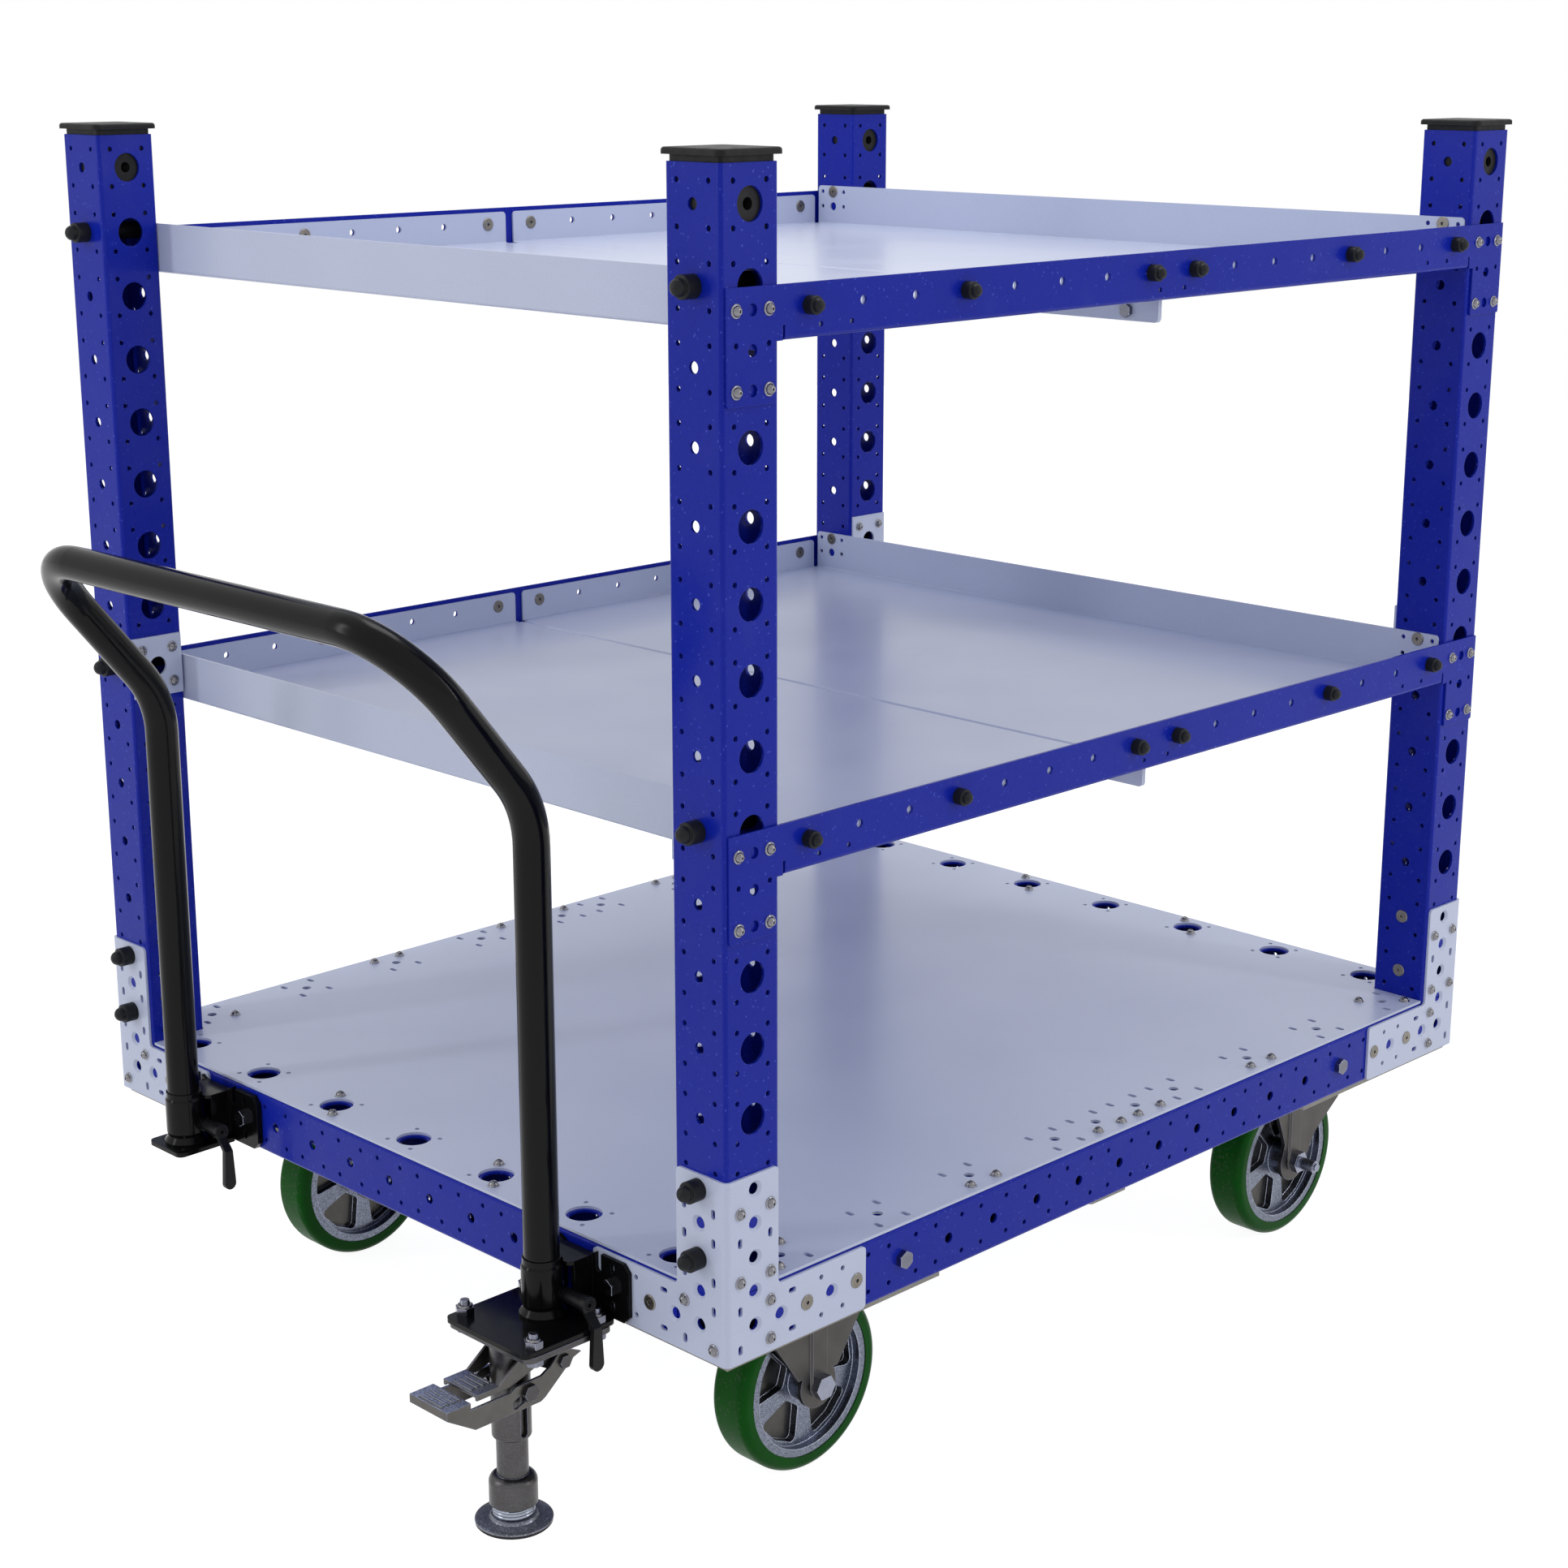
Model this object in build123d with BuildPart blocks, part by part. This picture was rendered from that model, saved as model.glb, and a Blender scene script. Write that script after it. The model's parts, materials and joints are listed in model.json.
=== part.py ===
from build123d import *
import os
from math import atan2, cos, degrees, hypot, radians, sin, tan

os.makedirs("parts", exist_ok=True)

# ---------------------------------------------------------------------------------------------
# Driving dimensions, in millimetres. The handle end is called the front. +X runs from the front
# to the rear, +Y to the left side, +Z up. Z = 0 is the floor, and X = 0, Y = 0 is the middle of
# the cart's overall length and width.
# ---------------------------------------------------------------------------------------------
module = 70.0               # pitch of the hole system and side of every tube
tube_wall = 3.0
tube_corner = 4.0
long_modules = 17           # post centre to post centre along X
short_modules = 14          # post centre to post centre along Y
post_modules = 15           # height of a post above the base frame
hole_small = 5.5            # four round each module centre
hole_medium = 11.3
hole_large = 31.0
small_offset = 20.0         # small holes' distance from the module centre, along each direction
cross_beam_modules = 3      # cross beam's centre from the post's centre line

gap = 0.3                   # air between curved or moving neighbours
running = 0.05              # radial clearance of a shaft in its bore
shank_air = 0.25            # radial air round a screw in a hole of its own size

sheet = 3.0                 # rails, corner brackets, deck, post stiffeners
tray_sheet = 2.5
bend_radius = 1.5           # inside radius of a folded edge
deck_edge = 1.0             # deck's edge inside the frame's outer faces
deck_slot_length = 12.0
deck_slot_width = 6.0
deck_hole = 38.0

shelf_modules = 7           # from the top shelf down to the middle shelf
rail_height = 49.0
rail_drop = 1.5 * module    # top edge of the upper rail below the top of the posts
rail_foot = 28.0            # inward foot of a rail, which carries the trays
rail_foot_margin = 40.0     # foot's end from the post's centre line
rail_plate_height = 103.0   # end plate of a rail, over the post's outer face
rail_plate_reach = 28.5
rail_hole_drop = 20.0       # row of bolt holes below a rail's top edge
rail_bolt_hole = 8.5
rail_relief = 3.0
rail_seam_notch = 12.0      # gap in the foot for the trays' seam flanges

tray_end_rise = 54.0        # height of a tray's end lip
tray_side_rise = 41.0
tray_side_margin = 6.0      # side lip's end from the end lip and from the seam
tray_end_reach = 28.0       # end lip's reach beyond the post's centre line
tray_seam_drop = 30.0       # down flange at the seam between two trays
tray_seam_reach = 23.0      # its reach beyond the post's centre line
tray_seam_gap = 0.4
tray_corner = 5.0
seam_bolt_inset = 17.0
seam_bolts = 4

bracket_span = 153.0        # corner bracket's reach from the post's centre line
bracket_height = 189.0
bracket_foot = 67.0
bracket_leg = 31.0
bracket_rise = 1.0          # bracket's lower edge above the bottom of the base frame
bracket_round = 5.0
bracket_slot = 10.0
countersink = 17.0
half_pitch = module / 2     # pitch of the holes down a corner bracket and a rail's end plate

cap_plate_side = 79.0
cap_plate_thickness = 6.0
cap_neck_side = 66.0
cap_neck_height = 6.0
cap_plug_depth = 60.0
cap_plug_wall = 3.0

stiffener_side = 64.0
stiffener_hole = 22.0
splice_plate_length = 63.0  # small plates under the long beams
splice_plate_width = 60.0
splice_plate_thickness = 4.0
splice_plate_shift = 45.0   # their centres from the middle of the wheelbase
spacer_diameter = 19.0

wheel_diameter = 200.0
wheel_width = 48.0
tyre_depth = 16.0
tyre_shoulder = 9.0
rim_depth = 9.0
rim_width = 46.0
hub_diameter = 46.0
hub_length = 58.0
web_thickness = 26.0
web_core = 8.0
web_pockets = 5
pocket_inner = 29.0
pocket_outer = 71.0
pocket_inner_half = 11.0
pocket_outer_half = 31.0
pocket_round = 6.0
bearing_diameter = 35.0
bearing_width = 11.0
axle_diameter = 20.0
wheel_to_plate = 32.0        # from the top of a wheel to the top of its caster's plate
caster_plate = 6.0
caster_plate_x = 140.0
caster_plate_y = 112.0
caster_bolt_x = 58.0
caster_bolt_y = 46.0
caster_inset = 1.5 * module  # caster plate's centre from the beam's centre line, along Y
caster_front_offset = 197.0  # rigid caster's centre from the post's centre line, along X
caster_rear_offset = 105.0   # swivel axis from the post's centre line, along X
caster_trail = 35.0          # swivel axis to axle, level
mount_plate = 6.0            # plates that carry the casters under the frame
mount_plate_margin = 30.0
mount_plate_x = 272.0
mount_plate_y = 206.0
fork_sheet = 5.0
fork_inner = 60.0            # between a fork's two legs
fork_ridge_rise = 3.0
fork_ridge_width = 24.0
rigid_half_width = 68.0
rigid_shoulder = 56.0        # height of the straight part of a rigid fork's leg
boss_diameter = 52.0
raceway_diameter = 86.0
raceway_height = 16.0
crown_thickness = 6.0
kingpin_head = 24.0
axle_head_af = 24.0
axle_head = 9.0
axle_stud = 30.0             # end of a rear axle, beyond the fork
axle_stud_diameter = 15.0

handle_diameter = 36.0
handle_wall = 3.0
handle_inset = 2.5 * module  # leg's distance from the post's centre line, along Y
handle_offset = 86.0         # leg's distance from the post's centre line, along X
handle_bend_height = 486.0   # start of the first bend, above the bottom of the base frame
handle_bend_radius = 110.0
handle_lean = 39.0           # degrees from upright
handle_slope = 191.0
handle_corner_radius = 88.0

handle_plate = 5.0
handle_sheet = 4.0
handle_pad = 3.0
handle_web_reach = 66.0      # front end of the webs from the post's centre line
handle_top_reach = 72.0
handle_top = 61.0            # top face of the bracket above the bottom of the base frame
handle_flange_half = 79.0
handle_flange_bottom = 2.0
handle_flange_top = 65.0
handle_flange_chamfer = 8.0
handle_notch_margin = 5.0    # from the webs to the notches
handle_notch_width = 8.0
handle_notch_depth = 20.0
handle_bolt_reach = 52.0
handle_foot_reach = 116.0    # left bracket's bottom plate
handle_foot_half = 32.0
socket_wall = 3.0            # of the body, the neck and the flare round a leg
socket_neck_wall = 1.5
socket_flare_wall = 6.0
socket_top = 66.0
socket_body_low = 18.5
socket_shoulder = 57.0
lever_offset = 75.0          # lever's axis from the post's centre line
lever_height = 28.0
lever_arm = 66.0
lever_stud_diameter = 8.0
lever_hub_length = 33.0
lever_hub_small = 13.0
lever_hub_large = 17.5
lever_arm_stand = 12.0       # arm's outer face beyond the hub
lever_arm_thickness = 6.0
lever_arm_waist = 10.0
lever_paddle = 14.5

lock_offset = 129.5          # floor lock's axis from the post's centre line, along X
lock_plate_front = 161.0     # lock mount plate, from the post's centre line
lock_plate_rear = 43.0
lock_plate_half = 62.0
lock_flange = 6.0
lock_flange_front = 158.0
lock_flange_rear = 48.0
lock_flange_half = 63.0
lock_bolt_front = 142.0
lock_bolt_rear = 62.0
lock_bolt_half = 52.5
lock_tube_diameter = 40.0
lock_tube_bottom = 112.0     # below the bottom of the base frame, like the heights that follow
lock_slot_top = 50.0
lock_slot_bottom = 108.0
lock_ear_front = 124.0
lock_ear_rear = 66.0
lock_ear_bottom = 48.0
lock_plunger_diameter = 32.0
lock_plunger_top = 46.0
lock_cup_top = 153.0
lock_cup_bottom = 184.0
lock_cup_diameter = 49.0
lock_pin_height = 55.5
lock_pin_diameter = 8.0
lock_pin_head_af = 16.0
lock_pin_head = 4.5
lock_wire = 4.0
lock_spring_diameter = 43.0
lock_spring_turns = 3
lock_foot_diameter = 79.0
lock_foot_top = 200.0
lock_foot_plate = 4.0
lock_foot_rubber = 3.0
pedal_angle = 25.8           # degrees from raised to pressed
pedal_pivot_offset = 84.0    # from the post's centre line
pedal_pivot_height = 38.0
pedal_pivot_diameter = 8.0
pedal_sheet = 3.0
pedal_front = 231.0
pedal_tread_rear = 202.0
pedal_tread_height = 41.0
pedal_tread_lip = 9.0        # front of the tread, turned down
pedal_lowest = 71.0          # lower edge of the side plates
pedal_low_front = 197.0      # ends of that lower edge, from the post's centre line
pedal_low_rear = 115.0
pedal_dip_front = 152.0      # dip of the upper edge behind the tread
pedal_dip_rear = 146.0
pedal_dip = 7.5
pedal_neck = 113.0           # start of the rise to the pivot
pedal_ear_top = 10.0         # pedals' ears above their pivots
pedal_ear_half = 7.5
pedal_tail = 22.0            # rear end of the side plates behind the pivot
release_sheet = 2.5
release_pivot_offset = 115.0
release_pivot_height = 22.0
release_pivot_diameter = 7.0
release_front = 192.0
release_rear = 164.0
release_tread_height = 38.0
release_edge = 6.0           # depth of the side plates at the tread
release_ear_top = 10.0       # side plates round their pivot
release_ear_half = 8.5
release_ear_low = 12.0
release_reach = 35.0         # start of the level part, before the pivot
rib_pitch = 7.0              # ribs across both treads
rib_width = 3.0
rib_rise = 1.0
rib_margin = 13.0            # from a tread's edge to the end of a rib

cap_small = 17.0             # domed cap on a rail bolt
cap_large = 22.0             # domed cap on a post bolt
cap_small_length = 17.0
cap_large_length = 25.0
cap_grip = 12.0              # length of thread inside a cap
cap_round = 0.6              # radius of a cap's edge, as a share of the cap's radius
post_bolt = 10.0
rail_bolt = 8.0
caster_bolt = 8.0
button_shank = 5.0
button_grip = 8.0
button_flange = 13.0
button_flange_height = 1.2
button_head = 10.0
button_rise = 4.5
socket_af = 3.0              # hexagonal socket of a button screw
flat_socket_af = 4.0
hex_key_depth = 2.5
flat_head = 16.0
flat_rise = 1.3
hex_10_af = 17.0
hex_10_head = 6.4
hex_10_nut = 8.0
hex_8_af = 13.0
hex_8_head = 5.3
hex_8_nut = 6.8
thread_end = 2.0
hex_corner_turn = 1.08       # diameter that turns a hexagon's corners off, over its flats
hex_corner_angle = 20.0

# ---------------------------------------------------------------------------------------------
# Sizes that follow from the driving dimensions
# ---------------------------------------------------------------------------------------------
half = module / 2
pitch_x = long_modules * module
middle_module = (long_modules - 1) // 2     # last module short of the middle of the length
pitch_y = short_modules * module
y_side = pitch_y / 2
face = half + sheet         # outer face of rails and corner brackets from the post's centre

caster_height = wheel_diameter + wheel_to_plate
base_bottom = caster_height + mount_plate
base_middle = base_bottom + half
base_top = base_bottom + module
post_top = base_top + post_modules * module
deck_top = base_top + sheet
shelf_drop = shelf_modules * module
rail_top = post_top - rail_drop

socket_radius = handle_diameter / 2 + socket_wall
handle_web_half = socket_radius + handle_sheet  # outer faces of the webs from the leg's axis
handle_notch_inner = handle_web_half + handle_notch_margin
lever_hub_inner = handle_web_half               # hub's ends from the leg's axis, along Y
lever_hub_outer = lever_hub_inner + lever_hub_length
lever_arm_outer = lever_hub_outer + lever_arm_stand

lean = radians(handle_lean)
bar_offset = handle_offset + handle_bend_radius * (1 - cos(lean)) + handle_slope * sin(lean)
reach_front = bar_offset + handle_diameter / 2
reach_rear = face + cap_large_length
x_front = reach_front - (pitch_x + reach_front + reach_rear) / 2
x_rear = x_front + pitch_x
x_middle = (x_front + x_rear) / 2

MIRROR_Y = Plane.XZ
MIRROR_X = Plane.YZ.offset(x_middle)
END_NAMES = {False: "front", True: "rear"}
SIDE_NAMES = {False: "right", True: "left"}


def save(part, label):
    """Label a finished piece and write it to its own STEP file."""
    part.label = label
    export_step(part, f"parts/{label}.step")


def flipped(part, rear, left):
    """A piece of the front right corner, carried over to another corner of the cart."""
    if rear:
        part = mirror(part, about=MIRROR_X, mode=Mode.PRIVATE)
    if left:
        part = mirror(part, about=MIRROR_Y, mode=Mode.PRIVATE)
    return part


def four_corners(part):
    return [flipped(part, rear, left) for rear in (False, True) for left in (False, True)]


def save_corners(part, name):
    """Write the front right piece and its three mirror images as four nodes."""
    for rear in (False, True):
        for left in (False, True):
            label = f"{name}_{END_NAMES[rear]}_{SIDE_NAMES[left]}"
            save(flipped(part, rear, left), label)


def save_group(pieces, label):
    """Write alike pieces as one node of separate solids."""
    solids = [solid for piece in pieces for solid in piece.solids()]
    save(Compound(children=solids), label)


def pose(point, direction):
    """Place of a fastener whose own +Z points out along the direction."""
    return Plane(origin=point, z_dir=direction).location


def corner_poses(point, direction, ends=(1, -1)):
    """Fastener places at a point of the front right corner and at its mirror images."""
    poses = []
    for end in ends:
        for side in (1, -1):
            spot = (x_middle + end * (point[0] - x_middle), side * point[1], point[2])
            poses.append(pose(spot, (end * direction[0], side * direction[1], direction[2])))
    return poses


def copies(part, poses):
    return [part.moved(place) for place in poses]


def square(offset):
    """The four points at plus and minus the offset."""
    return [(a * offset, b * offset) for a in (-1, 1) for b in (-1, 1)]


def around(centres, offset):
    """The four points at plus and minus the offset round each centre."""
    return [(x + dx, y + dy) for x, y in centres for dx, dy in square(offset)]


# ---------------------------------------------------------------------------------------------
# Perforated tubes: the base frame and the posts
# ---------------------------------------------------------------------------------------------
def perforated_tube(start, count, across_x, across_y, ends):
    """A square tube along start's z axis, bored along start's x and y at every module."""
    centres = [(module * (index + 0.5), 0) for index in range(count)]
    length = count * module
    inner = module - 2 * tube_wall
    with BuildPart() as tube:
        with BuildSketch(start):
            RectangleRounded(module, module, tube_corner)
            RectangleRounded(inner, inner, tube_corner - tube_wall, mode=Mode.SUBTRACT)
        extrude(amount=length)
        if ends:
            for start_of_plate in (0, length - tube_wall):
                with BuildSketch(start.offset(start_of_plate)):
                    Rectangle(inner, inner)
                    Circle(hole_medium / 2, mode=Mode.SUBTRACT)
                    with Locations(*square(small_offset)):
                        Circle(hole_small / 2, mode=Mode.SUBTRACT)
                extrude(amount=tube_wall)
        for normal, diameter in ((start.x_dir, across_x), (start.y_dir, across_y)):
            with BuildSketch(Plane(origin=start.origin, x_dir=start.z_dir, z_dir=normal)):
                with Locations(*centres):
                    Circle(diameter / 2)
                with Locations(*around(centres, small_offset)):
                    Circle(hole_small / 2)
            extrude(amount=module, both=True, mode=Mode.SUBTRACT)
    return tube.part


handle_y = y_side - handle_inset
handle_bolt_y = [
    side * handle_y + reach * handle_bolt_reach for side in (-1, 1) for reach in (-1, 1)
]


def short_beam(x):
    start = Plane(origin=(x, half - y_side, base_middle), x_dir=(1, 0, 0), z_dir=(0, 1, 0))
    return perforated_tube(start, short_modules - 1, hole_medium, hole_large, ends=True)


long_start = Plane(origin=(x_front - half, -y_side, base_middle), x_dir=(0, 1, 0), z_dir=(1, 0, 0))
long_count = long_modules + 1
with BuildPart() as base_beam_right:
    add(perforated_tube(long_start, long_count, hole_medium, hole_medium, ends=True))
    with BuildSketch(Plane((x_middle, -y_side, base_bottom))):
        RectangleRounded(long_count * module, module, tube_corner)
    extrude(amount=module, mode=Mode.INTERSECT)
save(base_beam_right.part, "base_beam_right")
save(flipped(base_beam_right.part, False, True), "base_beam_left")

with BuildPart() as base_beam_front:
    add(short_beam(x_front))
    with BuildSketch(Plane.YZ.offset(x_front - half)):
        with Locations(*[(y, base_middle) for y in handle_bolt_y]):
            Circle(post_bolt / 2 + shank_air)
    extrude(amount=2 * tube_wall, both=True, mode=Mode.SUBTRACT)
save(base_beam_front.part, "base_beam_front")
save(short_beam(x_rear), "base_beam_rear")

cross_beam_shift = cross_beam_modules * module
save(short_beam(x_front + cross_beam_shift), "cross_beam_front")
save(short_beam(x_rear - cross_beam_shift), "cross_beam_rear")

post_start = Plane(origin=(x_front, -y_side, base_top), x_dir=(1, 0, 0), z_dir=(0, 0, 1))
post = perforated_tube(post_start, post_modules, hole_medium, hole_large, ends=False)
save_corners(post, "post")

# ---------------------------------------------------------------------------------------------
# Post caps: a square plate over a neck, and a plug inside the tube with a bored boss across it
# ---------------------------------------------------------------------------------------------
cap_plug_side = module - 2 * tube_wall - 2 * running
cap_start = Plane((x_front, -y_side, post_top))
cap_boss = Plane(origin=(x_front, -y_side, post_top - half), x_dir=(1, 0, 0), z_dir=(0, 1, 0))

with BuildPart() as post_cap:
    with BuildSketch(cap_start):
        RectangleRounded(cap_neck_side, cap_neck_side, tube_corner)
    extrude(amount=cap_neck_height)
    with BuildSketch(cap_start.offset(cap_neck_height)):
        RectangleRounded(cap_plate_side, cap_plate_side, 2 * tube_corner)
    extrude(amount=cap_plate_thickness)
    fillet(post_cap.faces().sort_by(Axis.Z)[-1].edges(), cap_plate_thickness / 2)
    with BuildSketch(cap_start):
        RectangleRounded(cap_plug_side, cap_plug_side, tube_corner - tube_wall)
        inner = cap_plug_side - 2 * cap_plug_wall
        Rectangle(inner, inner, mode=Mode.SUBTRACT)
    extrude(amount=-cap_plug_depth)
    with BuildSketch(cap_boss):
        Circle(hole_large / 2 - gap)
    extrude(amount=cap_plug_side / 2, both=True)
    with BuildSketch(cap_boss):
        Circle(hole_medium / 2)
    extrude(amount=module, both=True, mode=Mode.SUBTRACT)
save_group(four_corners(post_cap.part), "post_caps")

# ---------------------------------------------------------------------------------------------
# Corner brackets: folded sheet round each post and base corner, with two L-shaped faces
# ---------------------------------------------------------------------------------------------
bracket_low = 15.0          # rows of small holes in the foot, above the bottom of the frame
bracket_high = bracket_low + 2 * small_offset
bracket_row = half          # centre line of the foot's large holes
bracket_drops = [half_pitch * (index + 1) for index in range(5)]
foot_reach = [module, 2 * module]


def bracket_face(plane, inward, countersunk, plain, small, upright_slots, level_slots):
    """One L-shaped face. The plane's y runs up from the base, its x times inward to the middle."""
    def at(points):
        return Locations(*[(inward * x, y) for x, y in points])

    back = tube_corner - half
    with BuildPart() as sheet_face:
        with BuildSketch(plane):
            with BuildLine():
                Polyline(
                    (inward * back, bracket_rise),
                    (inward * bracket_span, bracket_rise),
                    (inward * bracket_span, bracket_rise + bracket_foot),
                    (inward * bracket_leg, bracket_rise + bracket_foot),
                    (inward * bracket_leg, bracket_rise + bracket_height),
                    (inward * back, bracket_rise + bracket_height),
                    close=True,
                )
            outline = make_face()
            fillet(outline.vertices().filter_by(lambda v: inward * v.X > 0), bracket_round)
            with at(plain):
                Circle(hole_medium / 2, mode=Mode.SUBTRACT)
            with at(small):
                Circle(hole_small / 2, mode=Mode.SUBTRACT)
            with at(upright_slots):
                SlotOverall(bracket_slot, hole_small, rotation=90, mode=Mode.SUBTRACT)
            with at(level_slots):
                SlotOverall(bracket_slot, hole_small, mode=Mode.SUBTRACT)
        extrude(amount=sheet)
        with Locations(plane.offset(sheet)):
            with at(countersunk):
                CounterSinkHole(hole_medium / 2, countersink / 2, 2 * sheet, 90)
    return sheet_face.part


small_rows = (bracket_low, bracket_high)
far_small = [(x, z) for x in (module + small_offset, 2 * module - small_offset) for z in small_rows]
near_slots = [(module - small_offset, z) for z in small_rows]
post_low_row = 1.5 * module
post_high_row = 2.5 * module

side_screws = [
    (-small_offset, post_high_row - small_offset),
    (small_offset, post_high_row - small_offset),
    (-small_offset, post_low_row - small_offset),
    (small_offset, post_low_row - small_offset),
    (small_offset, bracket_low),
    (small_offset, bracket_high),
]
end_screws = [(small_offset, bracket_high), (-small_offset, bracket_low)]
side_plane = Plane(origin=(x_front, -y_side - half, base_bottom), x_dir=(1, 0, 0), z_dir=(0, -1, 0))
end_plane = Plane(origin=(x_front - half, -y_side, base_bottom), x_dir=(0, -1, 0), z_dir=(-1, 0, 0))

with BuildPart() as corner_bracket:
    add(
        bracket_face(
            side_plane,
            1,
            countersunk=[(0, z) for z in bracket_drops] + [(half_pitch, bracket_row)]
            + [(3 * half_pitch, bracket_row)],
            plain=[(x, bracket_row) for x in foot_reach],
            small=side_screws + far_small,
            upright_slots=[(-small_offset, bracket_low), (-small_offset, bracket_high)]
            + [(x, post_low_row + small_offset) for x in (-small_offset, small_offset)],
            level_slots=near_slots,
        )
    )
    add(
        bracket_face(
            end_plane,
            -1,
            countersunk=[(0, bracket_drops[i]) for i in (0, 1, 3)] + [(half_pitch, bracket_row)]
            + [(3 * half_pitch, bracket_row)],
            plain=[(0, post_low_row), (0, post_high_row)] + [(x, bracket_row) for x in foot_reach],
            small=end_screws + far_small,
            upright_slots=[(-small_offset, bracket_high), (small_offset, bracket_low)]
            + [
                (x, z)
                for x in (-small_offset, small_offset)
                for z in (post_low_row - small_offset, post_low_row + small_offset)
                + (post_high_row - small_offset,)
            ],
            level_slots=near_slots,
        )
    )
    fold_centre = (x_front - half + tube_corner, -y_side - half + tube_corner)
    with BuildSketch(Plane.XY.offset(base_bottom + bracket_rise)):
        with Locations(fold_centre):
            Circle(tube_corner + sheet)
            Circle(tube_corner, mode=Mode.SUBTRACT)
            Rectangle(module, module, align=(Align.MAX, Align.MAX), mode=Mode.INTERSECT)
    extrude(amount=bracket_height)

with BuildPart() as front_bracket:
    add(corner_bracket.part)
    with BuildSketch(Plane.YZ.offset(x_front - half)):
        with Locations((handle_bolt_y[0], base_middle)):
            Circle(post_bolt / 2 + shank_air)
    extrude(amount=2 * sheet, both=True, mode=Mode.SUBTRACT)

for left in (False, True):
    side = SIDE_NAMES[left]
    save(flipped(front_bracket.part, False, left), f"corner_bracket_front_{side}")
    save(flipped(corner_bracket.part, True, left), f"corner_bracket_rear_{side}")

# ---------------------------------------------------------------------------------------------
# Shelf rails: a web between two posts, a folded foot for the trays, a plate over each post
# ---------------------------------------------------------------------------------------------
rail_plane = Plane(origin=(x_front, -y_side - half, rail_top), x_dir=(1, 0, 0), z_dir=(0, -1, 0))
rail_ends = (tube_corner - half, pitch_x + half - tube_corner)
rail_holes = [module * (index + 1) for index in range(long_modules - 1)]
rail_cap_modules = (1, 4, middle_module)     # and their mirror images
plate_rows = [-rail_hole_drop - half_pitch * index for index in range(3)]
foot_ends = (rail_foot_margin, pitch_x - rail_foot_margin)
bend_height = bend_radius + sheet
extra_hole_drop = 38.0
extra_hole_offset = 15.0


def bent_strip(plane, points, thickness, length):
    """A folded strip: the bent line through the points, thickened and drawn out along z."""
    with BuildPart() as strip:
        with BuildSketch(plane):
            with BuildLine():
                FilletPolyline(*points, radius=bend_radius + thickness / 2)
            trace(line_width=thickness)
        extrude(amount=length)
    return strip.part


rail_foot_start = Plane(
    origin=(x_front + foot_ends[0], -y_side - half, rail_top - rail_height),
    x_dir=(0, 1, 0),
    z_dir=(1, 0, 0),
)
rail_foot_part = bent_strip(
    rail_foot_start,
    [(-sheet / 2, 2 * bend_height), (-sheet / 2, sheet / 2), (rail_foot - sheet, sheet / 2)],
    sheet,
    foot_ends[1] - foot_ends[0],
)
with BuildPart() as rail:
    with BuildSketch(rail_plane):
        with BuildLine():
            Polyline(
                (rail_ends[0], 0),
                (rail_ends[0], -rail_plate_height),
                (rail_plate_reach, -rail_plate_height),
                (rail_plate_reach, -rail_height),
                (foot_ends[0], -rail_height),
                (foot_ends[0], bend_height - rail_height),
                (foot_ends[1], bend_height - rail_height),
                (foot_ends[1], -rail_height),
                (pitch_x - rail_plate_reach, -rail_height),
                (pitch_x - rail_plate_reach, -rail_plate_height),
                (rail_ends[1], -rail_plate_height),
                (rail_ends[1], 0),
                close=True,
            )
        rail_face = make_face()
        fillet(rail_face.vertices().group_by(Axis.Y)[0], bracket_round / 2)
        with Locations(*[(x, -rail_hole_drop) for x in rail_holes]):
            Circle(rail_bolt_hole / 2, mode=Mode.SUBTRACT)
        with Locations(*[(x, z) for x in (0, pitch_x) for z in plate_rows]):
            Circle(hole_medium / 2, mode=Mode.SUBTRACT)
        plate_smalls = [
            (x + dx, z)
            for x in (0, pitch_x)
            for dx in (-small_offset, small_offset)
            for z in (plate_rows[0], plate_rows[1] + sheet + 2, plate_rows[2])
        ]
        extra_hole_x = [
            module * index + side * extra_hole_offset
            for index, side in ((1, 1), (2, -1), (middle_module, 1))
        ]
        extra_holes = [
            (x, -extra_hole_drop) for x in extra_hole_x + [pitch_x - x for x in extra_hole_x]
        ]
        with Locations(*plate_smalls, *extra_holes):
            Circle(hole_small / 2, mode=Mode.SUBTRACT)
        relief_z = bend_height - rail_height
        with Locations((foot_ends[0] - rail_relief / 2, relief_z)):
            Rectangle(rail_relief, 4 * bend_height, mode=Mode.SUBTRACT)
        with Locations((foot_ends[1] + rail_relief / 2, relief_z)):
            Rectangle(rail_relief, 4 * bend_height, mode=Mode.SUBTRACT)
    extrude(amount=sheet)
    add(rail_foot_part)
    with BuildSketch(Plane.XY.offset(rail_top - rail_height)):
        with Locations((x_middle, -y_side)):
            notch_depth = 2 * (tray_seam_reach + 2 * gap)
            Rectangle(rail_seam_notch, notch_depth)
    extrude(amount=sheet, mode=Mode.SUBTRACT)

for level, drop in (("top", 0), ("middle", shelf_drop)):
    for left in (False, True):
        piece = flipped(rail.part, False, left).moved(Location((0, 0, -drop)))
        save(piece, f"rail_{level}_{SIDE_NAMES[left]}")

# ---------------------------------------------------------------------------------------------
# Shelf trays: two to a shelf, meeting at a seam with down flanges that are bolted together
# ---------------------------------------------------------------------------------------------
tray_floor = rail_top - rail_height + sheet          # underside of a tray, on the rails' feet
tray_start_x = x_front + half                        # outer face of the end lip, on the posts
tray_end_x = x_middle - tray_seam_gap / 2
tray_side_y = y_side + half - gap
tray_bend = bend_radius + tray_sheet
floor_inset = 2 * tray_bend
seam_depth = tray_seam_drop - tray_sheet

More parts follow.
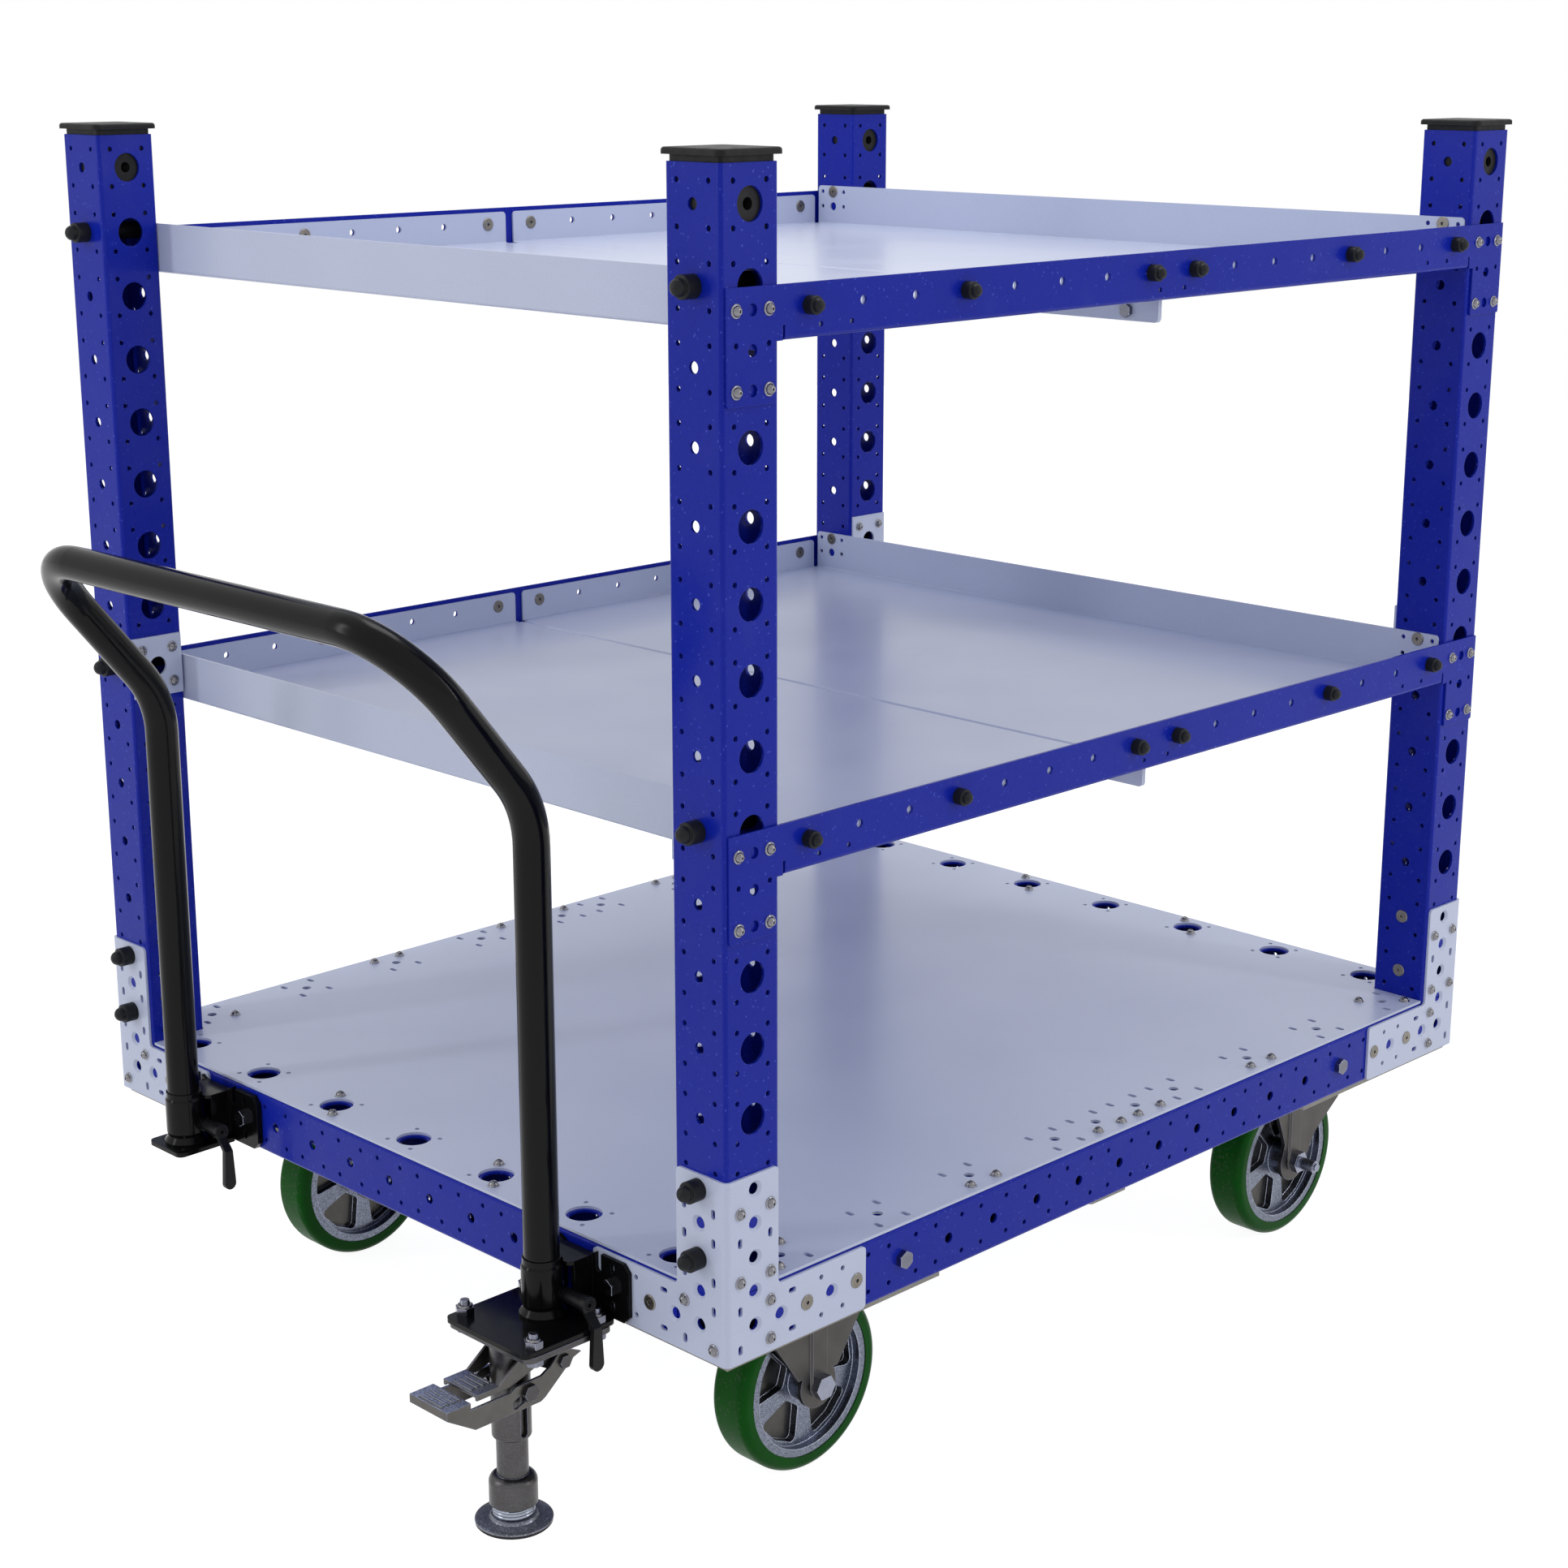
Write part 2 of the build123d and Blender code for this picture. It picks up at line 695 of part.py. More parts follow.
end_lip = bent_strip(
    Plane(
        origin=(tray_start_x, pitch_y / 2 + tray_end_reach, tray_floor),
        x_dir=(1, 0, 0),
        z_dir=(0, -1, 0),
    ),
    [
        (floor_inset, tray_sheet / 2),
        (tray_sheet / 2, tray_sheet / 2),
        (tray_sheet / 2, tray_end_rise),
    ],
    tray_sheet,
    pitch_y + 2 * tray_end_reach,
)
seam_half_width = y_side + tray_seam_reach
seam_lip = bent_strip(
    Plane(
        origin=(tray_end_x, seam_half_width, tray_floor),
        x_dir=(1, 0, 0),
        z_dir=(0, -1, 0),
    ),
    [
        (-floor_inset, tray_sheet / 2),
        (-tray_sheet / 2, tray_sheet / 2),
        (-tray_sheet / 2, -seam_depth),
    ],
    tray_sheet,
    2 * seam_half_width,
)
side_lip_start = tray_start_x + tray_side_margin
side_lip = bent_strip(
    Plane(
        origin=(side_lip_start, -tray_side_y, tray_floor),
        x_dir=(0, 1, 0),
        z_dir=(1, 0, 0),
    ),
    [
        (floor_inset, tray_sheet / 2),
        (tray_sheet / 2, tray_sheet / 2),
        (tray_sheet / 2, tray_side_rise),
    ],
    tray_sheet,
    tray_end_x - tray_side_margin - side_lip_start,
)
tray_hole_z = rail_top - rail_hole_drop
seam_bolt_y = [
    (pitch_y - 2 * seam_bolt_inset) * (index / (seam_bolts - 1) - 0.5) for index in range(seam_bolts)
]
seam_bolt_z = tray_floor - seam_bolt_inset

with BuildPart() as tray:
    with BuildSketch(Plane.XY.offset(tray_floor)):
        with Locations(((tray_start_x + tray_end_x) / 2, 0)):
            inner_length = tray_end_x - tray_start_x - 2 * floor_inset
            Rectangle(inner_length, 2 * (tray_side_y - floor_inset))
    extrude(amount=tray_sheet)
    add(end_lip)
    add(seam_lip)
    add(side_lip)
    add(flipped(side_lip, False, True))
    upper_edges = tray.edges().filter_by(Axis.X).filter_by(lambda e: e.length < 2 * tray_sheet)
    fillet(upper_edges.group_by(Axis.Z)[-1], tray_corner)
    fillet(upper_edges.group_by(Axis.Z)[0], tray_corner)
    lip_edges = tray.edges().filter_by(Axis.Y).filter_by(lambda e: e.length < 2 * tray_sheet)
    fillet(lip_edges.group_by(Axis.Z)[-1], tray_corner)
    with BuildSketch(Plane.YZ.offset(tray_start_x)):
        with Locations((-y_side, tray_hole_z), (y_side, tray_hole_z)):
            Circle(hole_medium / 2)
        with Locations((-y_side, rail_top), (y_side, rail_top)):
            Circle(post_bolt / 2 + shank_air)
        with Locations(
            *[
                (side * y_side + dy, z)
                for side in (-1, 1)
                for dy in (-small_offset, small_offset)
                for z in (rail_top, tray_hole_z)
            ]
        ):
            Circle(hole_small / 2)
    extrude(amount=2 * tray_sheet, mode=Mode.SUBTRACT)
    with BuildSketch(Plane.YZ.offset(tray_end_x)):
        with Locations(*[(y, seam_bolt_z) for y in seam_bolt_y]):
            Circle(rail_bolt / 2 + shank_air)
    extrude(amount=-2 * tray_sheet, mode=Mode.SUBTRACT)
    with BuildSketch(Plane.XZ):
        with Locations(*[(x_front + x, tray_hole_z) for x in rail_holes[:middle_module]]):
            Circle(rail_bolt_hole / 2)
    extrude(amount=module + y_side, both=True, mode=Mode.SUBTRACT)

for level, drop in (("top", 0), ("middle", shelf_drop)):
    for rear in (False, True):
        piece = flipped(tray.part, rear, False).moved(Location((0, 0, -drop)))
        save(piece, f"tray_{level}_{END_NAMES[rear]}")

# ---------------------------------------------------------------------------------------------
# Deck: one sheet on the base frame, notched round the posts and holed over the modules
# ---------------------------------------------------------------------------------------------
deck_half_y = y_side + half - deck_edge
deck_length = pitch_x + 2 * (half - deck_edge)
deck_notch = half + gap
slot_modules = (*range(1, middle_module, 2), middle_module)     # and their mirror images
end_stations = range(1, short_modules // 2 + 1, 2)
end_modules = sorted({*end_stations, *[short_modules - index for index in end_stations]})
end_hole_y = [module * (index - short_modules / 2) for index in end_modules]
slot_x = [x_front + module * index for index in slot_modules]
slot_x += [x_rear - module * index for index in slot_modules]
long_centres = [(x, side * y_side) for x in slot_x for side in (-1, 1)]
end_centres = [(x, y) for x in (x_front, x_rear) for y in end_hole_y]

with BuildPart() as deck:
    with BuildSketch(Plane.XY.offset(base_top)):
        with Locations((x_middle, 0)):
            Rectangle(deck_length, 2 * deck_half_y)
        with Locations(*[(x, side * y_side) for x in (x_front, x_rear) for side in (-1, 1)]):
            Rectangle(2 * deck_notch, 2 * deck_notch, mode=Mode.SUBTRACT)
        with Locations(*long_centres):
            Circle(hole_medium / 2, mode=Mode.SUBTRACT)
        with Locations(*around(long_centres, small_offset)):
            SlotOverall(deck_slot_length, deck_slot_width, rotation=90, mode=Mode.SUBTRACT)
        with Locations(*end_centres):
            Circle(deck_hole / 2, mode=Mode.SUBTRACT)
        with Locations(*around(end_centres, small_offset)):
            Circle(hole_small / 2, mode=Mode.SUBTRACT)
    extrude(amount=sheet)
save(deck.part, "deck_panel")

# ---------------------------------------------------------------------------------------------
# Small plates and sleeves: post stiffeners, post spacers, plates under the frame
# ---------------------------------------------------------------------------------------------
middle_top = rail_top - shelf_drop
with BuildPart() as stiffener:
    inner_face = Plane(origin=(x_front, half - y_side, middle_top), x_dir=(1, 0, 0), z_dir=(0, 1, 0))
    with BuildSketch(inner_face):
        Rectangle(stiffener_side, module)
        Circle(stiffener_hole / 2, mode=Mode.SUBTRACT)
        with Locations(*square(small_offset)):
            Circle(hole_small / 2, mode=Mode.SUBTRACT)
    extrude(amount=sheet)
save_group(four_corners(stiffener.part), "post_stiffeners")

with BuildPart() as spacer:
    for height in (rail_top, middle_top):
        start = Plane(origin=(x_front, -y_side, height), x_dir=(0, 1, 0), z_dir=(1, 0, 0))
        with BuildSketch(start):
            Circle(spacer_diameter / 2)
            Circle(post_bolt / 2 + shank_air, mode=Mode.SUBTRACT)
        extrude(amount=half - tube_wall, both=True)
save_group(four_corners(spacer.part), "post_spacers")

front_caster_x = x_front + caster_front_offset
rear_caster_x = x_rear - caster_rear_offset
caster_y = y_side - caster_inset
caster_bolts = [(a * caster_bolt_x, b * caster_bolt_y) for a in (-1, 1) for b in (-1, 1)]
mount_screws = [
    (-small_offset, module + small_offset),
    (small_offset, 2 * module + small_offset),
    (module + small_offset, small_offset),
    (4 * module - small_offset, small_offset),
    (3 * module - small_offset, 3 * module - small_offset),
    (3 * module + small_offset, 3 * module - small_offset),
]


def mount_plate_part(caster_x):
    """Front right carrier plate, drilled for a caster whose plate is centred at caster_x."""
    with BuildPart() as plate:
        with BuildSketch(Plane.XY.offset(caster_height)):
            with Locations((x_front - mount_plate_margin, -y_side - mount_plate_margin)):
                corner = (Align.MIN, Align.MIN)
                width = mount_plate_x + mount_plate_margin
                depth = mount_plate_y + mount_plate_margin
                Rectangle(width, depth, align=corner)
            with Locations((caster_x, -caster_y)):
                with Locations(*caster_bolts):
                    Circle(caster_bolt / 2 + shank_air, mode=Mode.SUBTRACT)
            with Locations((x_front, -y_side)):
                with Locations(*mount_screws):
                    Circle(hole_small / 2, mode=Mode.SUBTRACT)
        extrude(amount=mount_plate)
    return plate.part


front_mount = mount_plate_part(front_caster_x)
rear_mount = flipped(mount_plate_part(x_front + caster_rear_offset), True, False)
with BuildPart() as splice_plate:
    centre = (x_middle - splice_plate_shift, -y_side)
    with BuildSketch(Plane((*centre, base_bottom))):
        RectangleRounded(splice_plate_length, splice_plate_width, bracket_round)
    extrude(amount=-splice_plate_thickness)
under_plates = [front_mount, flipped(front_mount, False, True)]
under_plates += [rear_mount, flipped(rear_mount, False, True)]
under_plates += [splice_plate.part, flipped(splice_plate.part, False, True)]
save_group(under_plates, "frame_plates")

# ---------------------------------------------------------------------------------------------
# Handle: one bent tube whose two legs stand in sockets in front of the base frame
# ---------------------------------------------------------------------------------------------
handle_x = x_front - handle_offset
handle_foot = base_bottom + handle_plate + gap
bend_rise = handle_bend_radius * tan(lean / 2)
bend_top = base_bottom + handle_bend_height + bend_rise
bar_x = x_front - bar_offset
bar_z = base_bottom + handle_bend_height
bar_z += handle_bend_radius * sin(lean) + handle_slope * cos(lean)

with BuildPart() as handle:
    with BuildLine():
        FilletPolyline(
            (handle_x, -handle_y, handle_foot),
            (handle_x, -handle_y, bend_top),
            (bar_x, -handle_y, bar_z),
            (bar_x, handle_y, bar_z),
            (handle_x, handle_y, bend_top),
            (handle_x, handle_y, handle_foot),
            radius=[
                handle_bend_radius,
                handle_corner_radius,
                handle_corner_radius,
                handle_bend_radius,
            ],
        )
    with BuildSketch(Plane((handle_x, -handle_y, handle_foot))):
        Circle(handle_diameter / 2)
        Circle(handle_diameter / 2 - handle_wall, mode=Mode.SUBTRACT)
    sweep()
save(handle.part, "handle_tube")

# ---------------------------------------------------------------------------------------------
# Handle brackets: folded sheet bolted to the front beam, with a plate under each leg
# ---------------------------------------------------------------------------------------------
flange_x = x_front - face
flange_inner = handle_web_half - handle_sheet


def wing_sketch(plane, sides):
    """The bracket's flange wings, drawn on a plane whose x and y are the cart's Y and Z."""
    with BuildSketch(plane) as wings:
        for side in sides:
            with BuildLine():
                Polyline(
                    (side * flange_inner, handle_flange_bottom),
                    (side * handle_flange_half, handle_flange_bottom),
                    (side * handle_flange_half, handle_flange_top),
                    (side * handle_notch_inner, handle_flange_top),
                    (side * flange_inner, handle_top),
                    close=True,
                )
            make_face()
        outer = wings.vertices().filter_by(lambda v: abs(abs(v.X) - handle_flange_half) < gap)
        chamfer(outer, handle_flange_chamfer)
        for side in sides:
            notch_middle = handle_notch_inner + handle_notch_width / 2
            with Locations((side * notch_middle, handle_flange_top)):
                SlotOverall(2 * handle_notch_depth, handle_notch_width, 90, mode=Mode.SUBTRACT)
            with Locations((side * handle_bolt_reach, half)):
                Circle(post_bolt / 2 + shank_air, mode=Mode.SUBTRACT)
            slot_x = side * (handle_bolt_reach + sheet)
            with Locations((slot_x, bracket_low), (slot_x, bracket_high)):
                SlotOverall(bracket_slot, hole_small, 90, mode=Mode.SUBTRACT)
    return wings.sketch


def beam_plane(x):
    return Plane(origin=(x, -handle_y, base_bottom), x_dir=(0, 1, 0), z_dir=(1, 0, 0))


both_wings = wing_sketch(beam_plane(flange_x - handle_sheet), (-1, 1))
pad_wing = wing_sketch(beam_plane(flange_x), (1,))
with BuildPart() as bracket_folded:
    extrude(both_wings, amount=handle_sheet)
    extrude(pad_wing, amount=handle_pad)
    web_length = handle_web_reach - face
    web_height = handle_top - handle_plate
    for side in (-1, 1):
        web_y = side * (handle_web_half - handle_sheet / 2) - handle_y
        with Locations((flange_x - web_length / 2, web_y, base_bottom + handle_plate)):
            lowest = (Align.CENTER, Align.CENTER, Align.MIN)
            Box(web_length, handle_sheet, web_height, align=lowest)
    with BuildSketch(Plane.XY.offset(base_bottom + handle_top)):
        top_length = handle_top_reach - face
        with Locations((flange_x - top_length / 2, -handle_y)):
            top_face = Rectangle(top_length, 2 * handle_web_half)
        fillet(top_face.vertices().sort_by(Axis.X)[:2], 2 * handle_sheet)
        with Locations((handle_x, -handle_y)):
            Circle(socket_radius + running, mode=Mode.SUBTRACT)
    extrude(amount=-handle_sheet)

with BuildPart() as foot_plate:
    with BuildSketch(Plane((0, 0, base_bottom))):
        foot_length = handle_foot_reach - face - handle_sheet
        with Locations((flange_x - handle_sheet - foot_length / 2, -handle_y)):
            foot = Rectangle(foot_length, 2 * handle_foot_half)
        fillet(foot.vertices().sort_by(Axis.X)[:2], 2 * handle_sheet)
        with Locations((handle_x - handle_diameter / 2, small_offset - handle_y)):
            Circle(lever_stud_diameter / 2, mode=Mode.SUBTRACT)
    extrude(amount=handle_plate)

with BuildPart() as bracket_left:
    add(bracket_folded.part)
    add(foot_plate.part)
save(flipped(bracket_left.part, False, True), "handle_bracket_left")

lock_x = x_front - lock_offset
lock_bolts = [
    (x_front - x, -handle_y + side * lock_bolt_half)
    for x in (lock_bolt_front, lock_bolt_rear)
    for side in (-1, 1)
]
with BuildPart() as lock_mount_plate:
    with BuildSketch(Plane.XY.offset(base_bottom)):
        with Locations((x_front - (lock_plate_front + lock_plate_rear) / 2, -handle_y)):
            plate_x = lock_plate_front - lock_plate_rear
            RectangleRounded(plate_x, 2 * lock_plate_half, 2 * handle_sheet)
        with Locations(*lock_bolts):
            Circle(post_bolt / 2 + shank_air, mode=Mode.SUBTRACT)
    extrude(amount=handle_plate)
save_group([bracket_folded.part, lock_mount_plate.part], "handle_bracket_right")

# ---------------------------------------------------------------------------------------------
# Handle sockets: turned sleeves round the handle's legs, with a boss for the clamping lever
# ---------------------------------------------------------------------------------------------
lever_x = x_front - lever_offset
lever_z = base_bottom + lever_height
lever_plane = Plane(origin=(lever_x, -handle_y, lever_z), x_dir=(1, 0, 0), z_dir=(0, -1, 0))

with BuildPart() as socket:
    bore = handle_diameter / 2 + running
    neck = handle_diameter / 2 + socket_neck_wall
    flare = handle_diameter / 2 + socket_flare_wall
    with BuildSketch(Plane.XZ):
        with BuildLine():
            Polyline(
                (bore, handle_plate),
                (flare, handle_plate),
                (flare, handle_plate + sheet),
                (neck, handle_plate + 3 * sheet),
                (socket_radius, socket_body_low),
                (socket_radius, socket_shoulder),
                (neck, socket_shoulder + sheet),
                (neck, socket_top),
                (bore, socket_top),
                close=True,
            )
        make_face()
    revolve(axis=Axis.Z)
    boss_plane = Plane(
        origin=(handle_offset - lever_offset, 0, lever_height), x_dir=(1, 0, 0), z_dir=(0, -1, 0)
    )
    with BuildSketch(boss_plane.offset(lever_hub_inner - gap)):
        Circle(lever_stud_diameter / 2 + handle_sheet)
    extrude(until=Until.NEXT, dir=(0, 1, 0))
    with BuildSketch(boss_plane):
        Circle(lever_stud_diameter / 2 + running)
    extrude(amount=module, mode=Mode.SUBTRACT)
socket_part = socket.part.moved(Location((handle_x, -handle_y, base_bottom)))
to_left = Location((0, 2 * handle_y, 0))
save(socket_part, "handle_socket_right")
save(socket_part.moved(to_left), "handle_socket_left")

# ---------------------------------------------------------------------------------------------
# Clamping levers: a stud that grips the leg, a tapered hub and a hanging arm
# ---------------------------------------------------------------------------------------------
stud_reach = handle_offset - lever_offset - lever_stud_diameter / 2
stud_tip = (handle_diameter ** 2 / 4 - stud_reach ** 2) ** 0.5 + gap
arm_step = 20.0             # length over which the arm steps out from the hub

with BuildPart() as lever:
    with BuildSketch(lever_plane):
        Circle(lever_hub_large / 2)
        with Locations((0, lever_paddle / 2 - lever_arm)):
            Circle(lever_paddle / 2)
        with BuildLine():
            Polyline(
                (-lever_arm_waist / 2, 0),
                (lever_arm_waist / 2, 0),
                (lever_arm_waist / 2, -arm_step),
                (lever_paddle / 2, lever_paddle / 2 - lever_arm),
                (-lever_paddle / 2, lever_paddle / 2 - lever_arm),
                (-lever_arm_waist / 2, -arm_step),
                close=True,
            )
        make_face()
    extrude(amount=lever_arm_outer)
    side_view = Plane(origin=(lever_x, -handle_y, lever_z), x_dir=(0, -1, 0), z_dir=(-1, 0, 0))
    with BuildSketch(side_view):
        with BuildLine():
            Polyline(
                (lever_hub_outer - lever_arm_thickness, lever_hub_large),
                (lever_hub_outer, lever_hub_large),
                (lever_hub_outer, -lever_hub_small / 2),
                (lever_arm_outer, -arm_step),
                (lever_arm_outer, -2 * lever_arm),
                (lever_arm_outer - lever_arm_thickness, -2 * lever_arm),
                (lever_arm_outer - lever_arm_thickness, -arm_step),
                (lever_hub_outer - lever_arm_thickness, -lever_hub_small / 2),
                close=True,
            )
        make_face()
    extrude(amount=module, both=True, mode=Mode.INTERSECT)
    with BuildSketch(lever_plane.offset(lever_hub_inner)):
        Circle(lever_hub_small / 2)
    with BuildSketch(lever_plane.offset(lever_hub_outer)):
        Circle(lever_hub_large / 2)
    loft()
    with BuildSketch(lever_plane.offset(stud_tip)):
        Circle(lever_stud_diameter / 2)
    extrude(amount=lever_hub_inner - stud_tip)
    with BuildSketch(lever_plane.offset(lever_hub_outer)):
        Circle(post_bolt / 2)
        Circle(post_bolt / 2 - 2 * gap, mode=Mode.SUBTRACT)
    extrude(amount=-sheet, mode=Mode.SUBTRACT)
    with BuildSketch(lever_plane.offset(lever_hub_outer)):
        RegularPolygon(button_shank / 2, 6, major_radius=False)
    extrude(amount=-sheet, mode=Mode.SUBTRACT)
save(lever.part, "clamp_lever_right")
save(lever.part.moved(to_left), "clamp_lever_left")

# ---------------------------------------------------------------------------------------------
# Casters: wheels with bearings and tyres, two rigid forks in front, two swivelling ones behind
# ---------------------------------------------------------------------------------------------
axle_z = wheel_diameter / 2
wheel_rear_x = rear_caster_x - caster_trail
tyre_bore = wheel_diameter / 2 - tyre_depth


def ring(inner, outer, width, shift=0):
    """Section of a ring round Y, in a sketch on the XY plane."""
    with Locations(((inner + outer) / 2, shift)):
        Rectangle(outer - inner, width)


# One pocket between two spokes, along +X. The spokes stand straight down and evenly round.
with BuildSketch() as pocket:
    with BuildLine():
        Polyline(
            (pocket_inner, -pocket_inner_half),
            (pocket_outer - pocket_round, -pocket_outer_half),
            (pocket_outer, 0),
            (pocket_outer - pocket_round, pocket_outer_half),
            (pocket_inner, pocket_inner_half),
            close=True,
        )
    make_face()
    fillet(pocket.vertices(), pocket_round)

with BuildPart() as wheel_core:
    with BuildSketch():
        ring(bearing_diameter / 2, hub_diameter / 2, hub_length)
        ring(hub_diameter / 2, tyre_bore - rim_depth, web_thickness)
        ring(tyre_bore - rim_depth, tyre_bore, rim_width)
    revolve(axis=Axis.Y)
    with BuildSketch(Plane.XZ):
        with PolarLocations(0, web_pockets, 180 / web_pockets - 90):
            add(pocket.sketch)
    extrude(amount=web_thickness, both=True, mode=Mode.SUBTRACT)
    with BuildSketch():
        ring(hub_diameter / 2, tyre_bore - rim_depth, web_core)
    revolve(axis=Axis.Y)

with BuildPart() as bearing:
    with BuildSketch():
        ring(
            axle_diameter / 2 + running,
            bearing_diameter / 2,
            bearing_width,
            (hub_length - bearing_width) / 2,
        )
    revolve(axis=Axis.Y)

with BuildPart() as tyre:
    with BuildSketch() as tyre_section:
        ring(tyre_bore, wheel_diameter / 2, wheel_width)
        fillet(tyre_section.vertices().sort_by(Axis.X)[-2:], tyre_shoulder)
    revolve(axis=Axis.Y)

wheel_places = {
    "front_right": Location((front_caster_x, -caster_y, axle_z)),
    "front_left": Location((front_caster_x, caster_y, axle_z)),
    "rear_right": Location((wheel_rear_x, -caster_y, axle_z)),
    "rear_left": Location((wheel_rear_x, caster_y, axle_z)),
}
core_pieces = [wheel_core.part, bearing.part, mirror(bearing.part, about=MIRROR_Y, mode=Mode.PRIVATE)]
for name, place in wheel_places.items():
    save_group([piece.moved(place) for piece in core_pieces], f"wheel_core_{name}")
    save(tyre.part.moved(place), f"tyre_{name}")

# Forks and axles are drawn round a wheel's middle, then set at the casters' places.
leg_inner = fork_inner / 2
leg_outer = leg_inner + fork_sheet
top_plate_low = caster_height - caster_plate - axle_z
crown_top = top_plate_low - raceway_height - gap
crown_low = crown_top - crown_thickness


def fork_legs(outline, ridge_top):
    """Two flat legs with a raised ridge down to the axle, bored for the axle."""
    with BuildPart() as legs:
        for side in (-1, 1):
            flat = Plane(origin=(0, side * leg_inner, 0), x_dir=(1, 0, 0), z_dir=(0, side, 0))
            up = flat.y_dir.Z
            with BuildSketch(flat):
                with BuildLine():
                    Polyline(*[(x, up * z) for x, z in outline], close=True)
                make_face()
                Circle(boss_diameter / 2)
            extrude(amount=fork_sheet)
            with BuildSketch(flat.offset(fork_sheet)):
                with Locations((0, up * ridge_top / 2)):
                    SlotCenterToCenter(ridge_top, fork_ridge_width, 90)
            extrude(amount=fork_ridge_rise, taper=30)
        with BuildSketch(Plane.XZ):
            Circle(axle_diameter / 2 + running)
        extrude(amount=module, both=True, mode=Mode.SUBTRACT)
    return legs.part


rigid_low = top_plate_low - rigid_shoulder
rigid_outline = [
    (-rigid_half_width, top_plate_low),
    (rigid_half_width, top_plate_low),
    (rigid_half_width, rigid_low),
    (boss_diameter / 2 + sheet, boss_diameter / 4),
    (-boss_diameter / 2 - sheet, boss_diameter / 4),
    (-rigid_half_width, rigid_low),
]
ridge_height = top_plate_low - fork_ridge_width

with BuildPart() as rigid_fork:
    add(fork_legs(rigid_outline, ridge_height))
    with BuildSketch(Plane.XY.offset(top_plate_low)):
        RectangleRounded(caster_plate_x, caster_plate_y, 2 * bracket_round)
        with Locations(*caster_bolts):
            Circle(caster_bolt / 2 + shank_air, mode=Mode.SUBTRACT)
    extrude(amount=caster_plate)

crown_front = -rigid_half_width + caster_trail - 2 * sheet
crown_rear = rigid_half_width + caster_trail
swivel_outline = [
    (crown_front, crown_top),
    (crown_rear, crown_top),
    (crown_rear, crown_top - half_pitch),
    (crown_rear - 2 * bracket_round, crown_top - half_pitch - 3 * bracket_round),
    (half_pitch + 2 * bracket_round, boss_diameter / 2),
    (boss_diameter / 2, -bracket_round),
    (-boss_diameter / 2, 0),
    (crown_front + 4 * bracket_round, boss_diameter / 2),
    (crown_front, crown_top - half_pitch),
]

with BuildPart() as swivel_fork:
    add(fork_legs(swivel_outline, crown_low - fork_ridge_width))
    with BuildSketch(Plane.XY.offset(crown_low)):
        with Locations(((crown_front + crown_rear) / 2, 0)):
            Rectangle(crown_rear - crown_front, 2 * leg_outer)
        with Locations((caster_trail, 0)):
            Circle(axle_diameter / 2 + running, mode=Mode.SUBTRACT)
    extrude(amount=crown_thickness)
    long_edges = swivel_fork.edges().filter_by(Axis.X).group_by(Axis.Z)[-1]
    fillet(long_edges, crown_thickness - 1)

with BuildPart() as swivel_plate:
    with BuildSketch(Plane.XY.offset(caster_height - caster_plate)):
        RectangleRounded(caster_plate_x, caster_plate_y, 2 * bracket_round)
        with Locations(*caster_bolts):
            Circle(caster_bolt / 2 + shank_air, mode=Mode.SUBTRACT)
    extrude(amount=caster_plate)
    raceway_low = caster_height - caster_plate - raceway_height
    kingpin_low = raceway_low - 2 * gap - crown_thickness
    with BuildSketch(Plane.XZ):
        with BuildLine():
            Polyline(
                (0, caster_height - caster_plate),
                (raceway_diameter / 2, caster_height - caster_plate),
                (raceway_diameter / 2, raceway_low + raceway_height * 0.6),
                (raceway_diameter / 2 - sheet, raceway_low + raceway_height * 0.5),
                (raceway_diameter / 2, raceway_low + raceway_height * 0.4),
                (raceway_diameter / 2 - sheet, raceway_low),
                (axle_diameter / 2, raceway_low),
                (axle_diameter / 2, kingpin_low),
                (kingpin_head / 2, kingpin_low),
                (kingpin_head / 2, kingpin_low - sheet),
                (0, kingpin_low - sheet),
                close=True,
            )
        make_face()
    revolve(axis=Axis.Z)

with BuildPart() as rigid_axle:
    head_plane = Plane(origin=(0, -leg_outer - fork_ridge_rise, 0), x_dir=(1, 0, 0), z_dir=(0, -1, 0))
    with BuildSketch(head_plane):
        RegularPolygon(axle_head_af / 2, 6, major_radius=False)
    extrude(amount=axle_head)
    with BuildSketch(head_plane):
        Circle(axle_diameter / 2)
    extrude(amount=-2 * (leg_outer + fork_ridge_rise))
    with BuildSketch(head_plane.offset(-2 * (leg_outer + fork_ridge_rise) - axle_head)):
        RegularPolygon(axle_head_af / 2, 6, major_radius=False)
    extrude(amount=axle_head)

with BuildPart() as swivel_axle:
    add(rigid_axle.part)
    with BuildSketch(head_plane):
        Circle(axle_stud_diameter / 2)
    extrude(amount=axle_stud)
    with BuildSketch(head_plane.offset(axle_stud)):
        Circle(post_bolt / 2)
    extrude(amount=sheet)

front_axles = []
for side, sign in (("right", -1), ("left", 1)):
    front_place = wheel_places[f"front_{side}"]
    rear_place = wheel_places[f"rear_{side}"]
    save(rigid_fork.part.moved(front_place), f"caster_fork_front_{side}")
    save(swivel_fork.part.moved(rear_place), f"caster_fork_rear_{side}")
    save(swivel_plate.part.moved(Location((rear_caster_x, sign * caster_y, 0))), f"swivel_plate_{side}")
    save(swivel_axle.part.moved(rear_place), f"axle_rear_{side}")
    front_axles.append(rigid_axle.part.moved(front_place))
save_group(front_axles, "axles_front")

